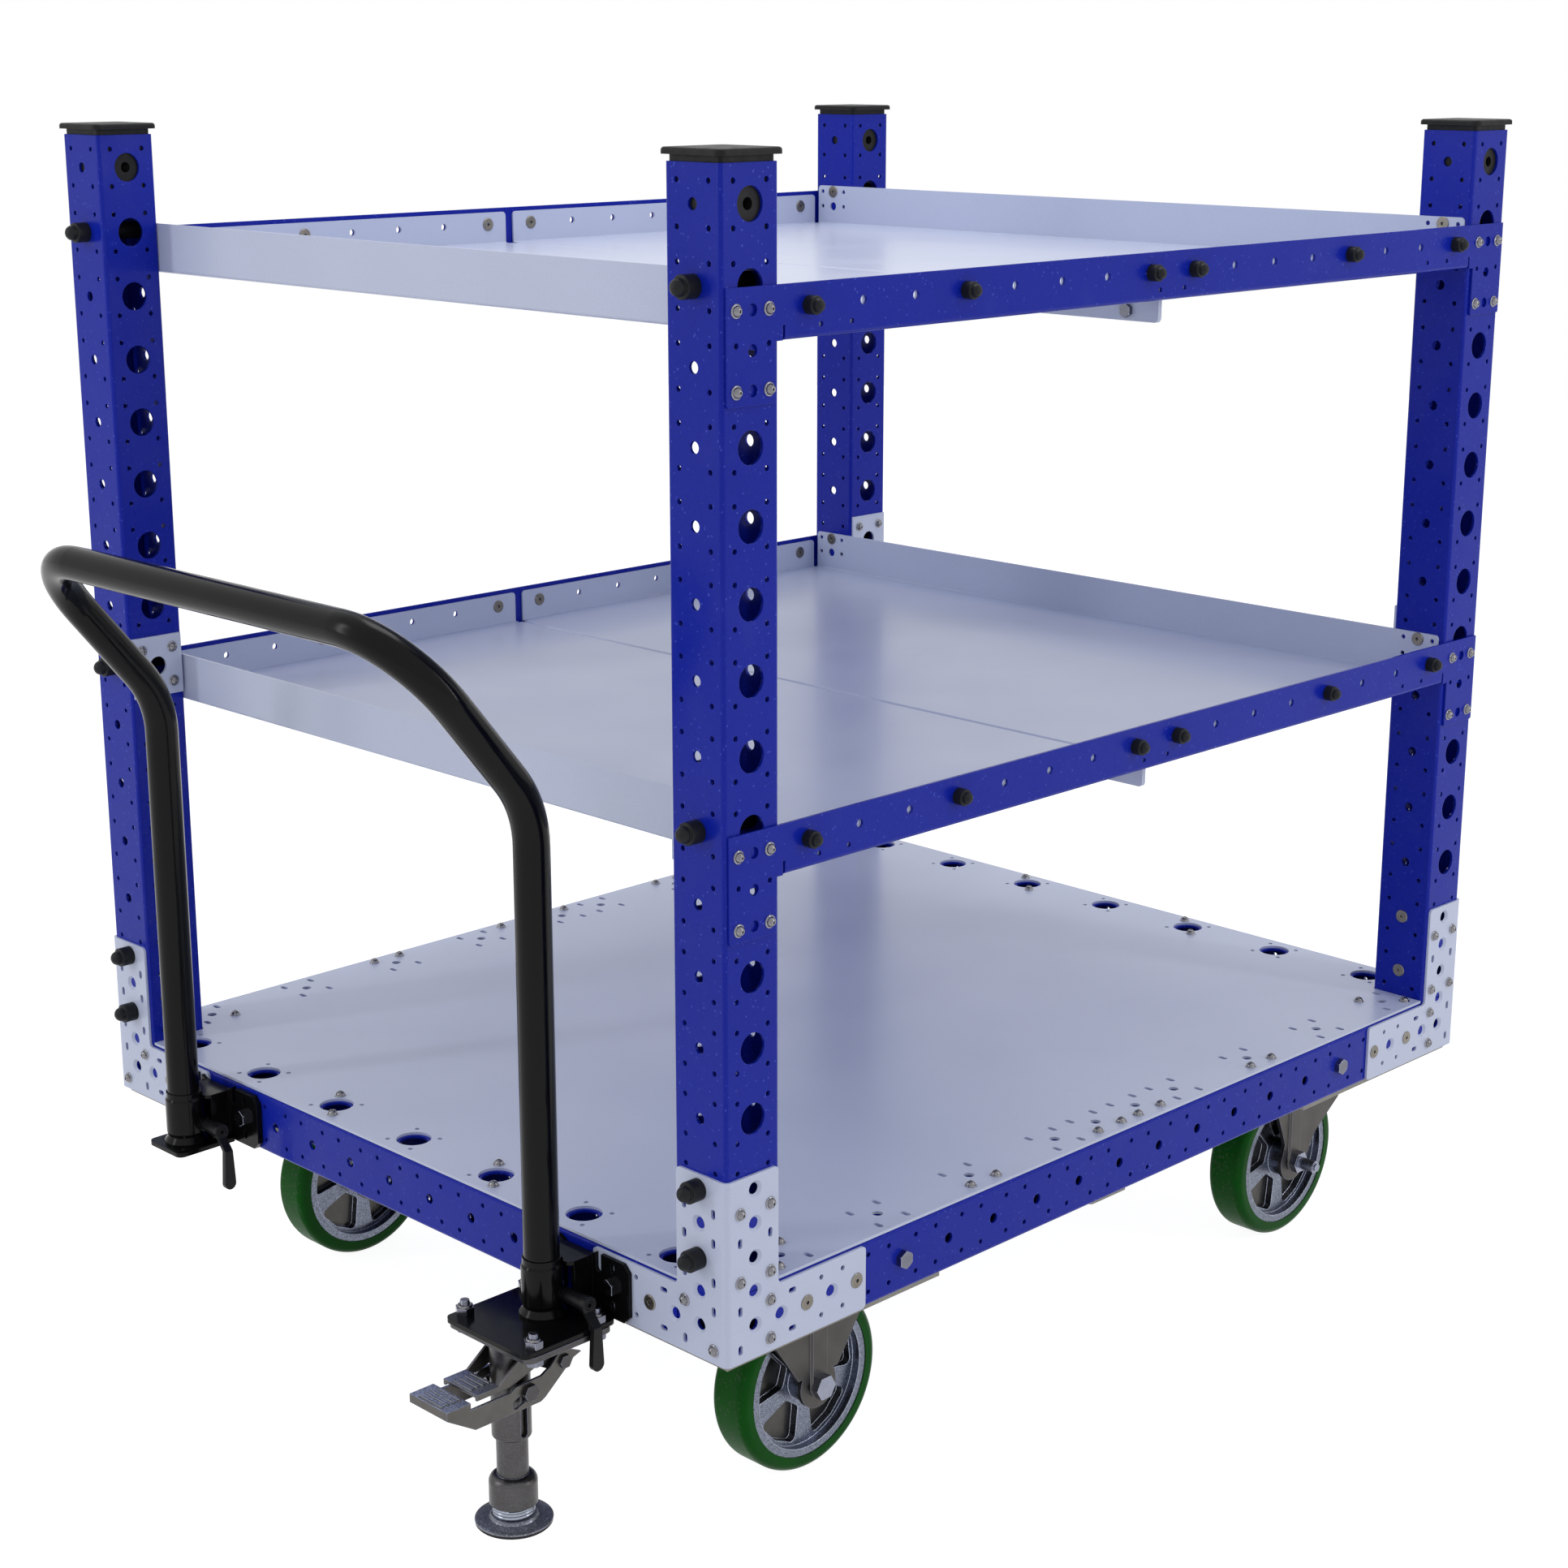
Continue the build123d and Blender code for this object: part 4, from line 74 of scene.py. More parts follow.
# ---------------------------------------------------------------------------------------------
# Materials. Every pattern is in object space, in metres, so it stays on its piece as it moves.
# ---------------------------------------------------------------------------------------------
class Finish:
    """A material being built round one Principled shader."""

    def __init__(self, name, **values):
        self.material = bpy.data.materials.new(name)
        self.material.use_nodes = True
        self.nodes = self.material.node_tree.nodes
        self.links = self.material.node_tree.links
        self.shader = self.nodes["Principled BSDF"]
        self.place = self.add("ShaderNodeTexCoord").outputs["Object"]
        self.normal = None
        for key, value in values.items():
            self.shader.inputs[key.replace("_", " ")].default_value = value

    def add(self, kind, **settings):
        node = self.nodes.new(kind)
        for key, value in settings.items():
            setattr(node, key, value)
        return node

    def feed(self, socket, value):
        """Link an output to a socket, or write a constant on it."""
        if isinstance(value, bpy.types.NodeSocket):
            self.links.new(value, socket)
        else:
            socket.default_value = value

    def stretched(self, x, y, z):
        """Object coordinates scaled by each factor, for grain that runs one way."""
        mapping = self.add("ShaderNodeMapping")
        self.feed(mapping.inputs["Vector"], self.place)
        mapping.inputs["Scale"].default_value = (x, y, z)
        return mapping.outputs["Vector"]

    def noise(self, size, detail=2.0, place=None):
        node = self.add("ShaderNodeTexNoise")
        self.feed(node.inputs["Vector"], place or self.place)
        node.inputs["Scale"].default_value = 1 / size
        node.inputs["Detail"].default_value = detail
        return node.outputs["Fac"]

    def cells(self, size):
        """Cells of about that size, each with a random level."""
        node = self.add("ShaderNodeTexVoronoi")
        self.feed(node.inputs["Vector"], self.place)
        node.inputs["Scale"].default_value = 1 / size
        return node.outputs["Color"]

    def ramp(self, value, low, high, to_low=0.0, to_high=1.0):
        """The value's range from low to high, carried over to another range and clamped."""
        node = self.add("ShaderNodeMapRange")
        self.feed(node.inputs["Value"], value)
        for socket, number in zip(("From Min", "From Max", "To Min", "To Max"),
                                  (low, high, to_low, to_high)):
            node.inputs[socket].default_value = number
        return node.outputs["Result"]

    def math(self, operation, first, second):
        node = self.add("ShaderNodeMath", operation=operation)
        self.feed(node.inputs[0], first)
        self.feed(node.inputs[1], second)
        return node.outputs[0]

    def mix(self, factor, first, second):
        """The first colour where the factor is 0, the second where it is 1."""
        node = self.add("ShaderNodeMix", data_type="RGBA")
        self.feed(node.inputs["Factor"], factor)
        self.feed(node.inputs["A"], first)
        self.feed(node.inputs["B"], second)
        return node.outputs["Result"]

    def facing(self, axis, low, high):
        """1 where the surface faces along the axis, 0 where it doesn't."""
        geometry = self.add("ShaderNodeNewGeometry")
        split = self.add("ShaderNodeSeparateXYZ")
        self.feed(split.inputs[0], geometry.outputs["True Normal"])
        return self.ramp(split.outputs[axis], low, high)

    def rounded_edges(self, radius):
        """Soften the edges by shading, and return a mask of them."""
        bevel = self.add("ShaderNodeBevel", samples=4)
        bevel.inputs["Radius"].default_value = radius
        geometry = self.add("ShaderNodeNewGeometry")
        dot = self.add("ShaderNodeVectorMath", operation="DOT_PRODUCT")
        self.feed(dot.inputs[0], bevel.outputs["Normal"])
        self.feed(dot.inputs[1], geometry.outputs["Normal"])
        self.normal = bevel.outputs["Normal"]
        return self.ramp(dot.outputs["Value"], 0.995, 0.86)

    def bump(self, height, depth):
        """Raise the surface by the height pattern, depth metres from 0 to 1."""
        node = self.add("ShaderNodeBump")
        node.inputs["Distance"].default_value = depth
        self.feed(node.inputs["Height"], height)
        if self.normal is not None:
            self.feed(node.inputs["Normal"], self.normal)
        self.normal = node.outputs["Normal"]

    def done(self, colour, roughness):
        self.feed(self.shader.inputs["Base Color"], colour)
        self.feed(self.shader.inputs["Roughness"], roughness)
        if self.normal is not None:
            self.feed(self.shader.inputs["Normal"], self.normal)
        return self.material


def flake_paint():
    """Royal blue metal-flake gloss paint: fine flakes, sparse bright ones, orange peel."""
    finish = Finish("blue_flake_paint", Metallic=0.0, Specular_IOR_Level=0.12,
                    Coat_Weight=0.04, Coat_Roughness=0.06)
    edge = finish.rounded_edges(0.9 * MM)
    tone = finish.mix(finish.noise(260 * MM, 3), srgb(8, 26, 142), srgb(14, 34, 158))
    fine = finish.ramp(finish.cells(0.7 * MM), 0.35, 0.95, 0.0, 0.55)
    colour = finish.mix(fine, tone, srgb(20, 42, 178))
    sparkle = finish.ramp(finish.cells(1.5 * MM), 0.90, 0.94)
    colour = finish.mix(finish.math("MULTIPLY", sparkle, 0.45), colour, srgb(90, 108, 222))
    # painted highlight: the rounded edges are lightened to a paler blue
    colour = finish.mix(finish.math("MULTIPLY", edge, 0.40), colour, srgb(64, 80, 200))
    scuff = finish.ramp(finish.noise(70 * MM, 8), 0.62, 0.80)
    colour = finish.mix(finish.math("MULTIPLY", scuff, 0.07), colour, srgb(90, 98, 170))
    finish.bump(finish.noise(1.6 * MM, 2), 0.03 * MM)
    return finish.done(colour, finish.ramp(finish.noise(45 * MM, 4), 0.3, 0.7, 0.20, 0.34))


def powder_coat():
    """Pale lavender-white satin powder coat with a fine grain and faint handling scuffs."""
    finish = Finish("white_powder_coat", Metallic=0.0, Specular_IOR_Level=0.42,
                    Coat_Weight=0.12, Coat_Roughness=0.14)
    edge = finish.rounded_edges(0.45 * MM)
    cloud = finish.noise(330 * MM, 4)
    colour = finish.mix(cloud, srgb(183, 191, 216), srgb(200, 208, 234))
    speck = finish.ramp(finish.noise(1.4 * MM, 1), 0.35, 0.65)
    colour = finish.mix(finish.math("MULTIPLY", speck, 0.16), colour, srgb(166, 174, 200))
    along = finish.noise(5 * MM, 3, finish.stretched(0.04, 1.0, 1.0))
    across = finish.noise(6 * MM, 3, finish.stretched(1.0, 0.05, 1.0))
    rubbed = finish.math("MAXIMUM", finish.ramp(along, 0.70, 0.78),
                         finish.ramp(across, 0.72, 0.80))
    colour = finish.mix(finish.math("MULTIPLY", rubbed, 0.10), colour, srgb(128, 134, 156))
    # painted highlight: the rounded edges are lightened towards white
    colour = finish.mix(finish.math("MULTIPLY", edge, 0.35), colour, srgb(222, 228, 248))
    finish.bump(finish.noise(1.1 * MM, 2), 0.025 * MM)
    wear = finish.math("ADD", finish.noise(120 * MM, 3), rubbed)
    return finish.done(colour, finish.ramp(wear, 0.3, 1.4, 0.28, 0.46))


def black_enamel():
    """Deep black gloss enamel of the handle, its brackets and sockets."""
    finish = Finish("black_enamel", Metallic=0.0, Specular_IOR_Level=0.14)
    edge = finish.rounded_edges(0.8 * MM)
    colour = finish.mix(finish.noise(90 * MM, 3), srgb(8, 8, 9), srgb(14, 14, 16))
    # painted highlight: the rounded edges are lightened to grey
    colour = finish.mix(finish.math("MULTIPLY", edge, 0.5), colour, srgb(36, 37, 40))
    dust = finish.ramp(finish.noise(3 * MM, 5), 0.66, 0.78)
    colour = finish.mix(finish.math("MULTIPLY", dust, 0.2), colour, srgb(46, 46, 50))
    finish.bump(finish.noise(2.4 * MM, 2), 0.03 * MM)
    return finish.done(colour, finish.ramp(finish.noise(30 * MM, 4), 0.3, 0.7, 0.10, 0.22))


def satin_black(name, low, high, grain, shine):
    """Moulded or die-cast satin black, with a fine spark-eroded grain."""
    finish = Finish(name, Metallic=0.0, Specular_IOR_Level=0.18)
    edge = finish.rounded_edges(0.6 * MM)
    colour = finish.mix(finish.noise(25 * MM, 4), srgb(*low), srgb(*high))
    # painted highlight: the rounded edges are lightened to grey
    colour = finish.mix(finish.math("MULTIPLY", edge, 0.4), colour, srgb(60, 61, 66))
    finish.bump(finish.noise(grain, 2), 0.05 * MM)
    return finish.done(colour, finish.ramp(finish.noise(8 * MM, 3), 0.3, 0.7, shine, shine + 0.14))


def metal(name, dark, light, shine, edge_highlight_and_speck, speck=0.0, brush=(1.0, 1.0, 1.0)):
    """A bare or plated metal: cloudy tone, brushed or cast grain, specks, and a painted highlight
    on its edges.
    """
    finish = Finish(name, Metallic=1.0)
    edge = finish.rounded_edges(0.7 * MM)
    colour = finish.mix(finish.noise(18 * MM, 5), srgb(*dark), srgb(*light))
    if speck:
        bright = finish.ramp(finish.cells(0.9 * MM), 0.55, 0.95, 0.0, speck)
        colour = finish.mix(bright, colour, srgb(*edge_highlight_and_speck))
    # painted highlight: the rounded edges are lightened to the highlight colour, which also tints
    # the specks above
    colour = finish.mix(finish.math("MULTIPLY", edge, 0.75), colour, srgb(*edge_highlight_and_speck))
    finish.bump(finish.noise(0.7 * MM, 3, finish.stretched(*brush)), 0.02 * MM)
    roughness = finish.ramp(finish.noise(9 * MM, 4), 0.25, 0.75, shine, shine + 0.16)
    return finish.done(colour, roughness)


def cast_core(wheel_middle):
    """Cast wheel core: pocket floors painted darker and plain as shade in the recesses, rough
    bright skin on its spokes.

    wheel_middle is how far the middle of a wheel's width stands from the cart's centre plane.
    """
    finish = Finish("cast_core", Metallic=1.0)
    edge = finish.rounded_edges(1.3 * MM)
    split = finish.add("ShaderNodeSeparateXYZ")
    finish.feed(split.inputs[0], finish.place)
    side = finish.math("ABSOLUTE", split.outputs["Y"], 0.0)
    depth = finish.math("ABSOLUTE", finish.math("SUBTRACT", side, wheel_middle), 0.0)
    skin = finish.ramp(depth, 5 * MM, 7 * MM)
    # painted shade: the pocket floors, near the middle of the wheel's width, are darker than the
    # outer faces
    pocket_shade_tone = finish.mix(finish.noise(30 * MM, 4), srgb(68, 67, 65), srgb(86, 85, 83))
    speck = finish.ramp(finish.cells(0.9 * MM), 0.1, 0.9)
    rough_tone = finish.mix(speck, srgb(74, 77, 88), srgb(140, 146, 164))
    colour = finish.mix(skin, pocket_shade_tone, rough_tone)
    # painted highlight: the rounded edges are lightened strongly to bluish white
    colour = finish.mix(finish.math("MULTIPLY", edge, 0.9), colour, srgb(214, 222, 244))
    finish.bump(finish.math("MULTIPLY", finish.noise(1.2 * MM, 3), skin), 0.12 * MM)
    return finish.done(colour, finish.ramp(finish.noise(9 * MM, 4), 0.25, 0.75, 0.22, 0.38))


def foot_plating():
    """The lock's pressed foot disc: satin grey with a fine bright speckle."""
    finish = Finish("foot_plating", Metallic=0.55, Specular_IOR_Level=0.4)
    colour = finish.mix(finish.noise(14 * MM, 4), srgb(96, 98, 108), srgb(126, 129, 142))
    bright = finish.ramp(finish.cells(1.0 * MM), 0.70, 0.95, 0.0, 0.8)
    colour = finish.mix(bright, colour, srgb(206, 212, 230))
    dark = finish.ramp(finish.cells(1.6 * MM), 0.24, 0.10, 0.0, 0.6)
    colour = finish.mix(dark, colour, srgb(60, 61, 68))
    finish.bump(finish.noise(1.1 * MM, 3), 0.06 * MM)
    return finish.done(colour, finish.ramp(finish.noise(8 * MM, 3), 0.3, 0.7, 0.26, 0.40))


def pedal_metal():
    """Grey plated pedals, with a coarse bright speckle on top of the treads."""
    finish = Finish("pedal_plating", Metallic=1.0)
    edge = finish.rounded_edges(0.7 * MM)
    colour = finish.mix(finish.noise(20 * MM, 4), srgb(84, 82, 80), srgb(102, 100, 97))
    top = finish.facing("Z", 0.80, 0.95)
    speckle = finish.ramp(finish.cells(1.0 * MM), 0.15, 0.85)
    treads = finish.mix(speckle, srgb(112, 117, 132), srgb(186, 193, 214))
    colour = finish.mix(top, colour, treads)
    # painted highlight: the rounded edges are lightened to a bluish grey
    colour = finish.mix(finish.math("MULTIPLY", edge, 0.8), colour, srgb(150, 160, 192))
    finish.bump(finish.math("MULTIPLY", finish.cells(1.0 * MM), top), 0.10 * MM)
    finish.bump(finish.noise(0.8 * MM, 2), 0.015 * MM)
    return finish.done(colour, finish.ramp(finish.noise(7 * MM, 3), 0.3, 0.7, 0.32, 0.46))


def tyre_polyurethane():
    """Deep green cast polyurethane, smooth on the flanks and rubbed dull on the tread."""
    finish = Finish("green_polyurethane", Metallic=0.0, Specular_IOR_Level=0.07)
    colour = finish.mix(finish.noise(40 * MM, 4), srgb(2, 66, 8), srgb(6, 92, 14))
    flank = finish.math("MAXIMUM", finish.facing("Y", 0.35, 0.75),
                        finish.facing("Y", -0.35, -0.75))
    rub = finish.ramp(finish.noise(6 * MM, 6), 0.42, 0.72)
    rub = finish.math("MULTIPLY", rub, finish.ramp(flank, 0.0, 1.0, 0.35, 0.05))
    colour = finish.mix(rub, colour, srgb(48, 70, 48))
    grit = finish.ramp(finish.cells(2.2 * MM), 0.80, 0.84)
    grit = finish.math("MULTIPLY", grit, finish.ramp(flank, 0.0, 1.0, 0.25, 0.0))
    colour = finish.mix(grit, colour, srgb(96, 104, 92))
    finish.bump(finish.noise(3.0 * MM, 4), 0.06 * MM)
    return finish.done(colour, finish.ramp(flank, 0.0, 1.0, 0.42, 0.2))


def foot_rubber():
    """Dull black rubber of the lock's foot pad."""
    finish = Finish("foot_rubber", Metallic=0.0, Specular_IOR_Level=0.3)
    colour = finish.mix(finish.noise(6 * MM, 5), srgb(20, 20, 20), srgb(44, 43, 42))
    finish.bump(finish.noise(1.2 * MM, 3), 0.12 * MM)
    return finish.done(colour, finish.ramp(finish.noise(5 * MM, 3), 0.3, 0.7, 0.60, 0.80))


tyre_low, tyre_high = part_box("tyre_front_left")
finishes = {
    "blue_paint": flake_paint(),
    "white_coat": powder_coat(),
    "black_plastic": satin_black("cap_nylon", (18, 18, 20), (28, 28, 31), 0.9 * MM, 0.42),
    "cap_plastic": satin_black("bolt_cap_plastic", (20, 21, 24), (31, 33, 37), 1.2 * MM, 0.34),
    "black_lever": satin_black("lever_coating", (14, 14, 16), (24, 24, 27), 0.8 * MM, 0.26),
    "black_gloss": black_enamel(),
    # the last colour of each metal() is its painted edge highlight, also used for its specks
    "grey_plate": metal("plate_zinc", (112, 111, 106), (136, 134, 128), 0.36, (170, 170, 170),
                        speck=0.15),
    "bright_screw": metal("screw_chrome", (104, 103, 106), (140, 139, 144), 0.06,
                          (222, 224, 236)),
    "dark_screw": metal("turned_steel", (108, 104, 98), (140, 135, 127), 0.24, (186, 184, 180)),
    "zinc_hex": metal("bolt_zinc", (96, 97, 106), (130, 132, 146), 0.14, (206, 212, 236)),
    "fork_steel": metal("fork_plating", (70, 68, 67), (92, 90, 88), 0.34, (150, 158, 184)),
    "cast_aluminium": cast_core(tyre_low.y / 2 + tyre_high.y / 2),
    "green_tyre": tyre_polyurethane(),
    "axle_steel": metal("axle_steel", (122, 126, 140), (158, 162, 180), 0.18, (206, 210, 228)),
    "lock_steel": metal("lock_plating", (66, 64, 63), (90, 88, 88), 0.24, (158, 168, 200),
                        speck=0.10, brush=(1.0, 1.0, 0.2)),
    "pedal_steel": pedal_metal(),
}
# its last colour is the painted edge highlight, also used for its specks
spring_wire = metal("spring_wire", (134, 138, 150), (172, 178, 194), 0.14, (226, 230, 244))
rubber = foot_rubber()

slot_of = {row["node"]: row["material_slot"] for row in frame["record"]["subparts"]}
for node, piece in frame["nodes"].items():
    piece.data.materials.clear()
    piece.data.materials.append(finishes[slot_of[node]])


# ---------------------------------------------------------------------------------------------
# Mesh building
# ---------------------------------------------------------------------------------------------
def turned(mesh, profile, place, segments):
    """Turn a profile of (radius, height) pairs round the place's Z axis. Radius 0 closes it."""
    rings = []
    for radius, height in profile:
        if radius == 0:
            rings.append([mesh.verts.new(place @ Vector((0, 0, height)))])
            continue
        ring = []
        for step in range(segments):
            angle = math.tau * step / segments
            spot = Vector((radius * math.cos(angle), radius * math.sin(angle), height))
            ring.append(mesh.verts.new(place @ spot))
        rings.append(ring)
    for low, high in zip(rings, rings[1:]):
        for step in range(segments):
            after = (step + 1) % segments
            corners = [low[step % len(low)], low[after % len(low)],
                       high[after % len(high)], high[step % len(high)]]
            mesh.faces.new(list(dict.fromkeys(corners)))


def arc(centre, radius, start, end, steps, squash=1.0):
    """Profile points on an arc, from one angle to another, in degrees from the radius axis."""
    points = []
    for step in range(steps + 1):
        angle = math.radians(start + (end - start) * step / steps)
        points.append((centre[0] + radius * math.cos(angle),
                       centre[1] + squash * radius * math.sin(angle)))
    return points


def coiled(mesh, place, radius, wire, heights, turns, steps=40, sides=12):
    """A closed wire wound round Z, between two heights, with its last turns lying flat."""
    count = int(turns * steps)
    rings = []
    for index in range(count + 1):
        share = index / count
        angle = math.tau * turns * share
        flat = 0.5 / turns
        rise = min(1.0, max(0.0, (share - flat) / (1 - 2 * flat)))
        height = heights[0] + (heights[1] - heights[0]) * rise
        out = Vector((math.cos(angle), math.sin(angle), 0))
        centre = out * radius + Vector((0, 0, height))
        ring = []
        for side in range(sides):
            turn = math.tau * side / sides
            spot = centre + wire / 2 * (math.cos(turn) * out + math.sin(turn) * Vector((0, 0, 1)))
            ring.append(mesh.verts.new(place @ spot))
        rings.append(ring)
    for low, high in zip(rings, rings[1:]):
        for side in range(sides):
            after = (side + 1) % sides
            mesh.faces.new([low[side], high[side], high[after], low[after]])
    mesh.faces.new(rings[0])
    mesh.faces.new(list(reversed(rings[-1])))


def threaded(mesh, place, radius, length, pitch, depth, segments=32):
    """A screw's end: a helical thread round Z from height 0, closed by a chamfered tip."""
    steps_per_turn = 8
    rows = int(length / pitch * steps_per_turn)
    rings = []
    for row in range(rows + 1):
        height = length * row / rows
        taper = min(1.0, (length - height) / pitch + 0.2)
        ring = []
        for step in range(segments):
            angle = math.tau * step / segments
            phase = (height / pitch - step / segments) % 1.0
            crest = 1 - abs(2 * phase - 1)
            reach = radius - depth * (1 - crest * taper)
            spot = Vector((reach * math.cos(angle), reach * math.sin(angle), height))
            ring.append(mesh.verts.new(place @ spot))
        rings.append(ring)
    for low, high in zip(rings, rings[1:]):
        for step in range(segments):
            after = (step + 1) % segments
            mesh.faces.new([low[step], low[after], high[after], high[step]])
    mesh.faces.new(list(reversed(rings[0])))
    mesh.faces.new(rings[-1])


def capsule_bar(mesh, start, end, half_width, height):
    """A raised rib with round ends, from start to end on a level surface."""
    along = (end - start).normalized()
    side = Vector((0, 0, 1)).cross(along)
    columns = 8
    levels = 5
    outline = []
    for centre, first_turn in ((start, math.pi / 2), (end, -math.pi / 2)):
        for index in range(columns + 1):
            outline.append((centre, first_turn + math.pi * index / columns))
    rings = []
    for level in range(levels):
        angle = math.pi / 2 * level / levels
        ring = []
        for centre, turn in outline:
            out = math.cos(turn) * along + math.sin(turn) * side
            spot = centre + out * half_width * math.cos(angle)
            ring.append(mesh.verts.new(spot + Vector((0, 0, height * math.sin(angle)))))
        rings.append(ring)
    for low, high in zip(rings, rings[1:]):
        for index in range(len(low)):
            after = (index + 1) % len(low)
            mesh.faces.new([low[index], low[after], high[after], high[index]])
    mesh.faces.new(rings[-1])
    mesh.faces.new(list(reversed(rings[0])))


def finished(mesh, name, body, material, stands_for=()):
    """Make the mesh an object that rides on a body, smooth except at its sharp edges."""
    bmesh.ops.recalc_face_normals(mesh, faces=mesh.faces)
    for face in mesh.faces:
        face.smooth = True
    for edge in mesh.edges:
        edge.smooth = edge.calc_face_angle(0) < math.radians(38)
    data = bpy.data.meshes.new(name)
    mesh.to_mesh(data)
    mesh.free()
    data.materials.append(material)
    piece = bpy.data.objects.new(name, data)
    bpy.context.scene.collection.objects.link(piece)
    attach(piece, body)
    if stands_for:
        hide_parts(*stands_for)


def solids_of(node):
    """The points of each separate solid in a CAD node."""
    same_point = 0.002 * MM
    mesh = bmesh.new()
    mesh.from_mesh(frame["nodes"][node].data)
    bmesh.ops.remove_doubles(mesh, verts=mesh.verts, dist=same_point)
    mesh.verts.ensure_lookup_table()
    seen = set()
    solids = []
    for first in mesh.verts:
        if first.index in seen:
            continue
        seen.add(first.index)
        queue = [first]
        points = []
        while queue:
            vertex = queue.pop()
            points.append(vertex.co.copy())
            for edge in vertex.link_edges:
                other = edge.other_vert(vertex)
                if other.index not in seen:
                    seen.add(other.index)
                    queue.append(other)
        solids.append(points)
    mesh.free()
    return solids


def box_of(points):
    """Lowest and highest corner of some points."""
    return tuple(Vector([pick(point[axis] for point in points) for axis in range(3)])
                 for pick in (min, max))


def pointing(spot, direction):
    """A place whose Z axis points along the direction."""
    turn = Vector(direction).to_track_quat("Z", "Y")
    return Matrix.Translation(spot) @ turn.to_matrix().to_4x4()


# ---------------------------------------------------------------------------------------------
# Bolt caps: a moulded sleeve with a smaller dome on it
# ---------------------------------------------------------------------------------------------
CAP_SLEEVE = 0.60
CAP_WAIST = 0.70
CAP_DOME = 0.74
CAP_LIP = 0.9 * MM
CAP_ROOT = 0.6 * MM
LONG_CAP = 20 * MM


def cap_profile(radius, length):
    """A sleeve with a rounded lip, then the dome. Heights and the dome are shares of the cap."""
    sleeve = CAP_SLEEVE * length
    waist = CAP_WAIST * length
    dome = CAP_DOME * radius
    profile = [(0, 0), (radius, 0)]
    profile += arc((radius - CAP_LIP, sleeve - CAP_LIP), CAP_LIP, 0, 90, 4)
    profile += [(dome + CAP_ROOT, sleeve), (dome, sleeve + CAP_ROOT), (dome, waist)]
    profile += arc((0, waist), dome, 8, 84, 9, (length - waist) / dome)
    profile.append((0, length))
    return profile


middle = (cad_low + cad_high) / 2
caps = bmesh.new()
for points in solids_of("bolt_caps"):
    low, high = box_of(points)
    size = high - low
    centre = (low + high) / 2
    if size.x > LONG_CAP:
        front = centre.x < middle.x
        spot = Vector((high.x if front else low.x, centre.y, centre.z))
        place = pointing(spot, (-1 if front else 1, 0, 0))
        turned(caps, cap_profile(size.y / 2, size.x), place, 40)
    else:
        right = centre.y < 0
        spot = Vector((centre.x, high.y if right else low.y, centre.z))
        place = pointing(spot, (0, -1 if right else 1, 0))
        turned(caps, cap_profile(size.x / 2, size.y), place, 32)
finished(caps, "bolt_cap_mouldings", "frame", finishes["cap_plastic"],
         ["bolt_caps"])

# ---------------------------------------------------------------------------------------------
# Button screws: a round polished head on a thin flange
# ---------------------------------------------------------------------------------------------
BUTTON_SHANK = 2.5 * MM
BUTTON_GRIP = 8 * MM
BUTTON_FLANGE = 6.5 * MM
BUTTON_FLANGE_EDGE = 0.4 * MM
BUTTON_HEAD = 5.2 * MM
BUTTON_SEAT = 1.0 * MM
BUTTON_TOP = 5.7 * MM
BUTTON_SOCKET = 1.6 * MM
BUTTON_SOCKET_TOP = BUTTON_TOP - 0.3 * MM
BUTTON_SOCKET_FLOOR = BUTTON_TOP - 2.4 * MM
button_profile = [
    (0, -BUTTON_GRIP),
    (BUTTON_SHANK, -BUTTON_GRIP),
    (BUTTON_SHANK, 0),
    (BUTTON_FLANGE, 0),
    (BUTTON_FLANGE, BUTTON_SEAT - BUTTON_FLANGE_EDGE),
    (BUTTON_FLANGE - BUTTON_FLANGE_EDGE, BUTTON_SEAT),
    *arc((0, BUTTON_SEAT), BUTTON_HEAD, 0, 72, 9, (BUTTON_TOP - BUTTON_SEAT) / BUTTON_HEAD),
    (BUTTON_SOCKET, BUTTON_SOCKET_TOP),
    (BUTTON_SOCKET, BUTTON_SOCKET_FLOOR),
    (0, BUTTON_SOCKET_FLOOR),
]


def head_side(points, centre, axis):
    """1 where the screw's flange is on the axis's positive side, -1 on the negative one."""
    across = [index for index in range(3) if index != axis]
    lean = 0
    for point in points:
        if math.hypot(*[point[index] - centre[index] for index in across]) > 0.97 * BUTTON_FLANGE:
            lean += point[axis] - centre[axis]
    return 1 if lean > 0 else -1


buttons = bmesh.new()
for points in solids_of("button_screws"):
    low, high = box_of(points)
    size = high - low
    centre = (low + high) / 2
    axis = max(range(3), key=lambda index: size[index])
    outward = head_side(points, centre, axis)
    direction = Vector((0, 0, 0))
    direction[axis] = outward
    tip = high[axis] if outward > 0 else low[axis]
    seat = centre.copy()
    seat[axis] = tip - outward * BUTTON_TOP
    turned(buttons, button_profile, pointing(seat, direction), 24)
finished(buttons, "button_screw_heads", "frame", finishes["bright_screw"],
         ["button_screws"])

# ---------------------------------------------------------------------------------------------
# Floor lock: its foot with a wound spring, ribs on both treads, self-locking nuts on the plate
# ---------------------------------------------------------------------------------------------
PAD_HEIGHT = 3 * MM
DISC_TOP = PAD_HEIGHT + 4 * MM
DISC_LIP = 1.2 * MM
COLLAR_RADIUS = 23.4 * MM
COLLAR_TOP = DISC_TOP + 3 * MM
COLLAR_ROUND = 1 * MM
ROD_RADIUS = 10 * MM
SPRING_RADIUS = 19.5 * MM
SPRING_WIRE = 4 * MM
SPRING_TURNS = 3.6
FOOT_SEGMENTS = 72

foot_low, foot_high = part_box("lock_foot")
foot_axis = (foot_low + foot_high) / 2
foot_place = Matrix.Translation(Vector((foot_axis.x, foot_axis.y, foot_low.z)))
foot_radius = (foot_high.x - foot_low.x) / 2
foot_height = foot_high.z - foot_low.z

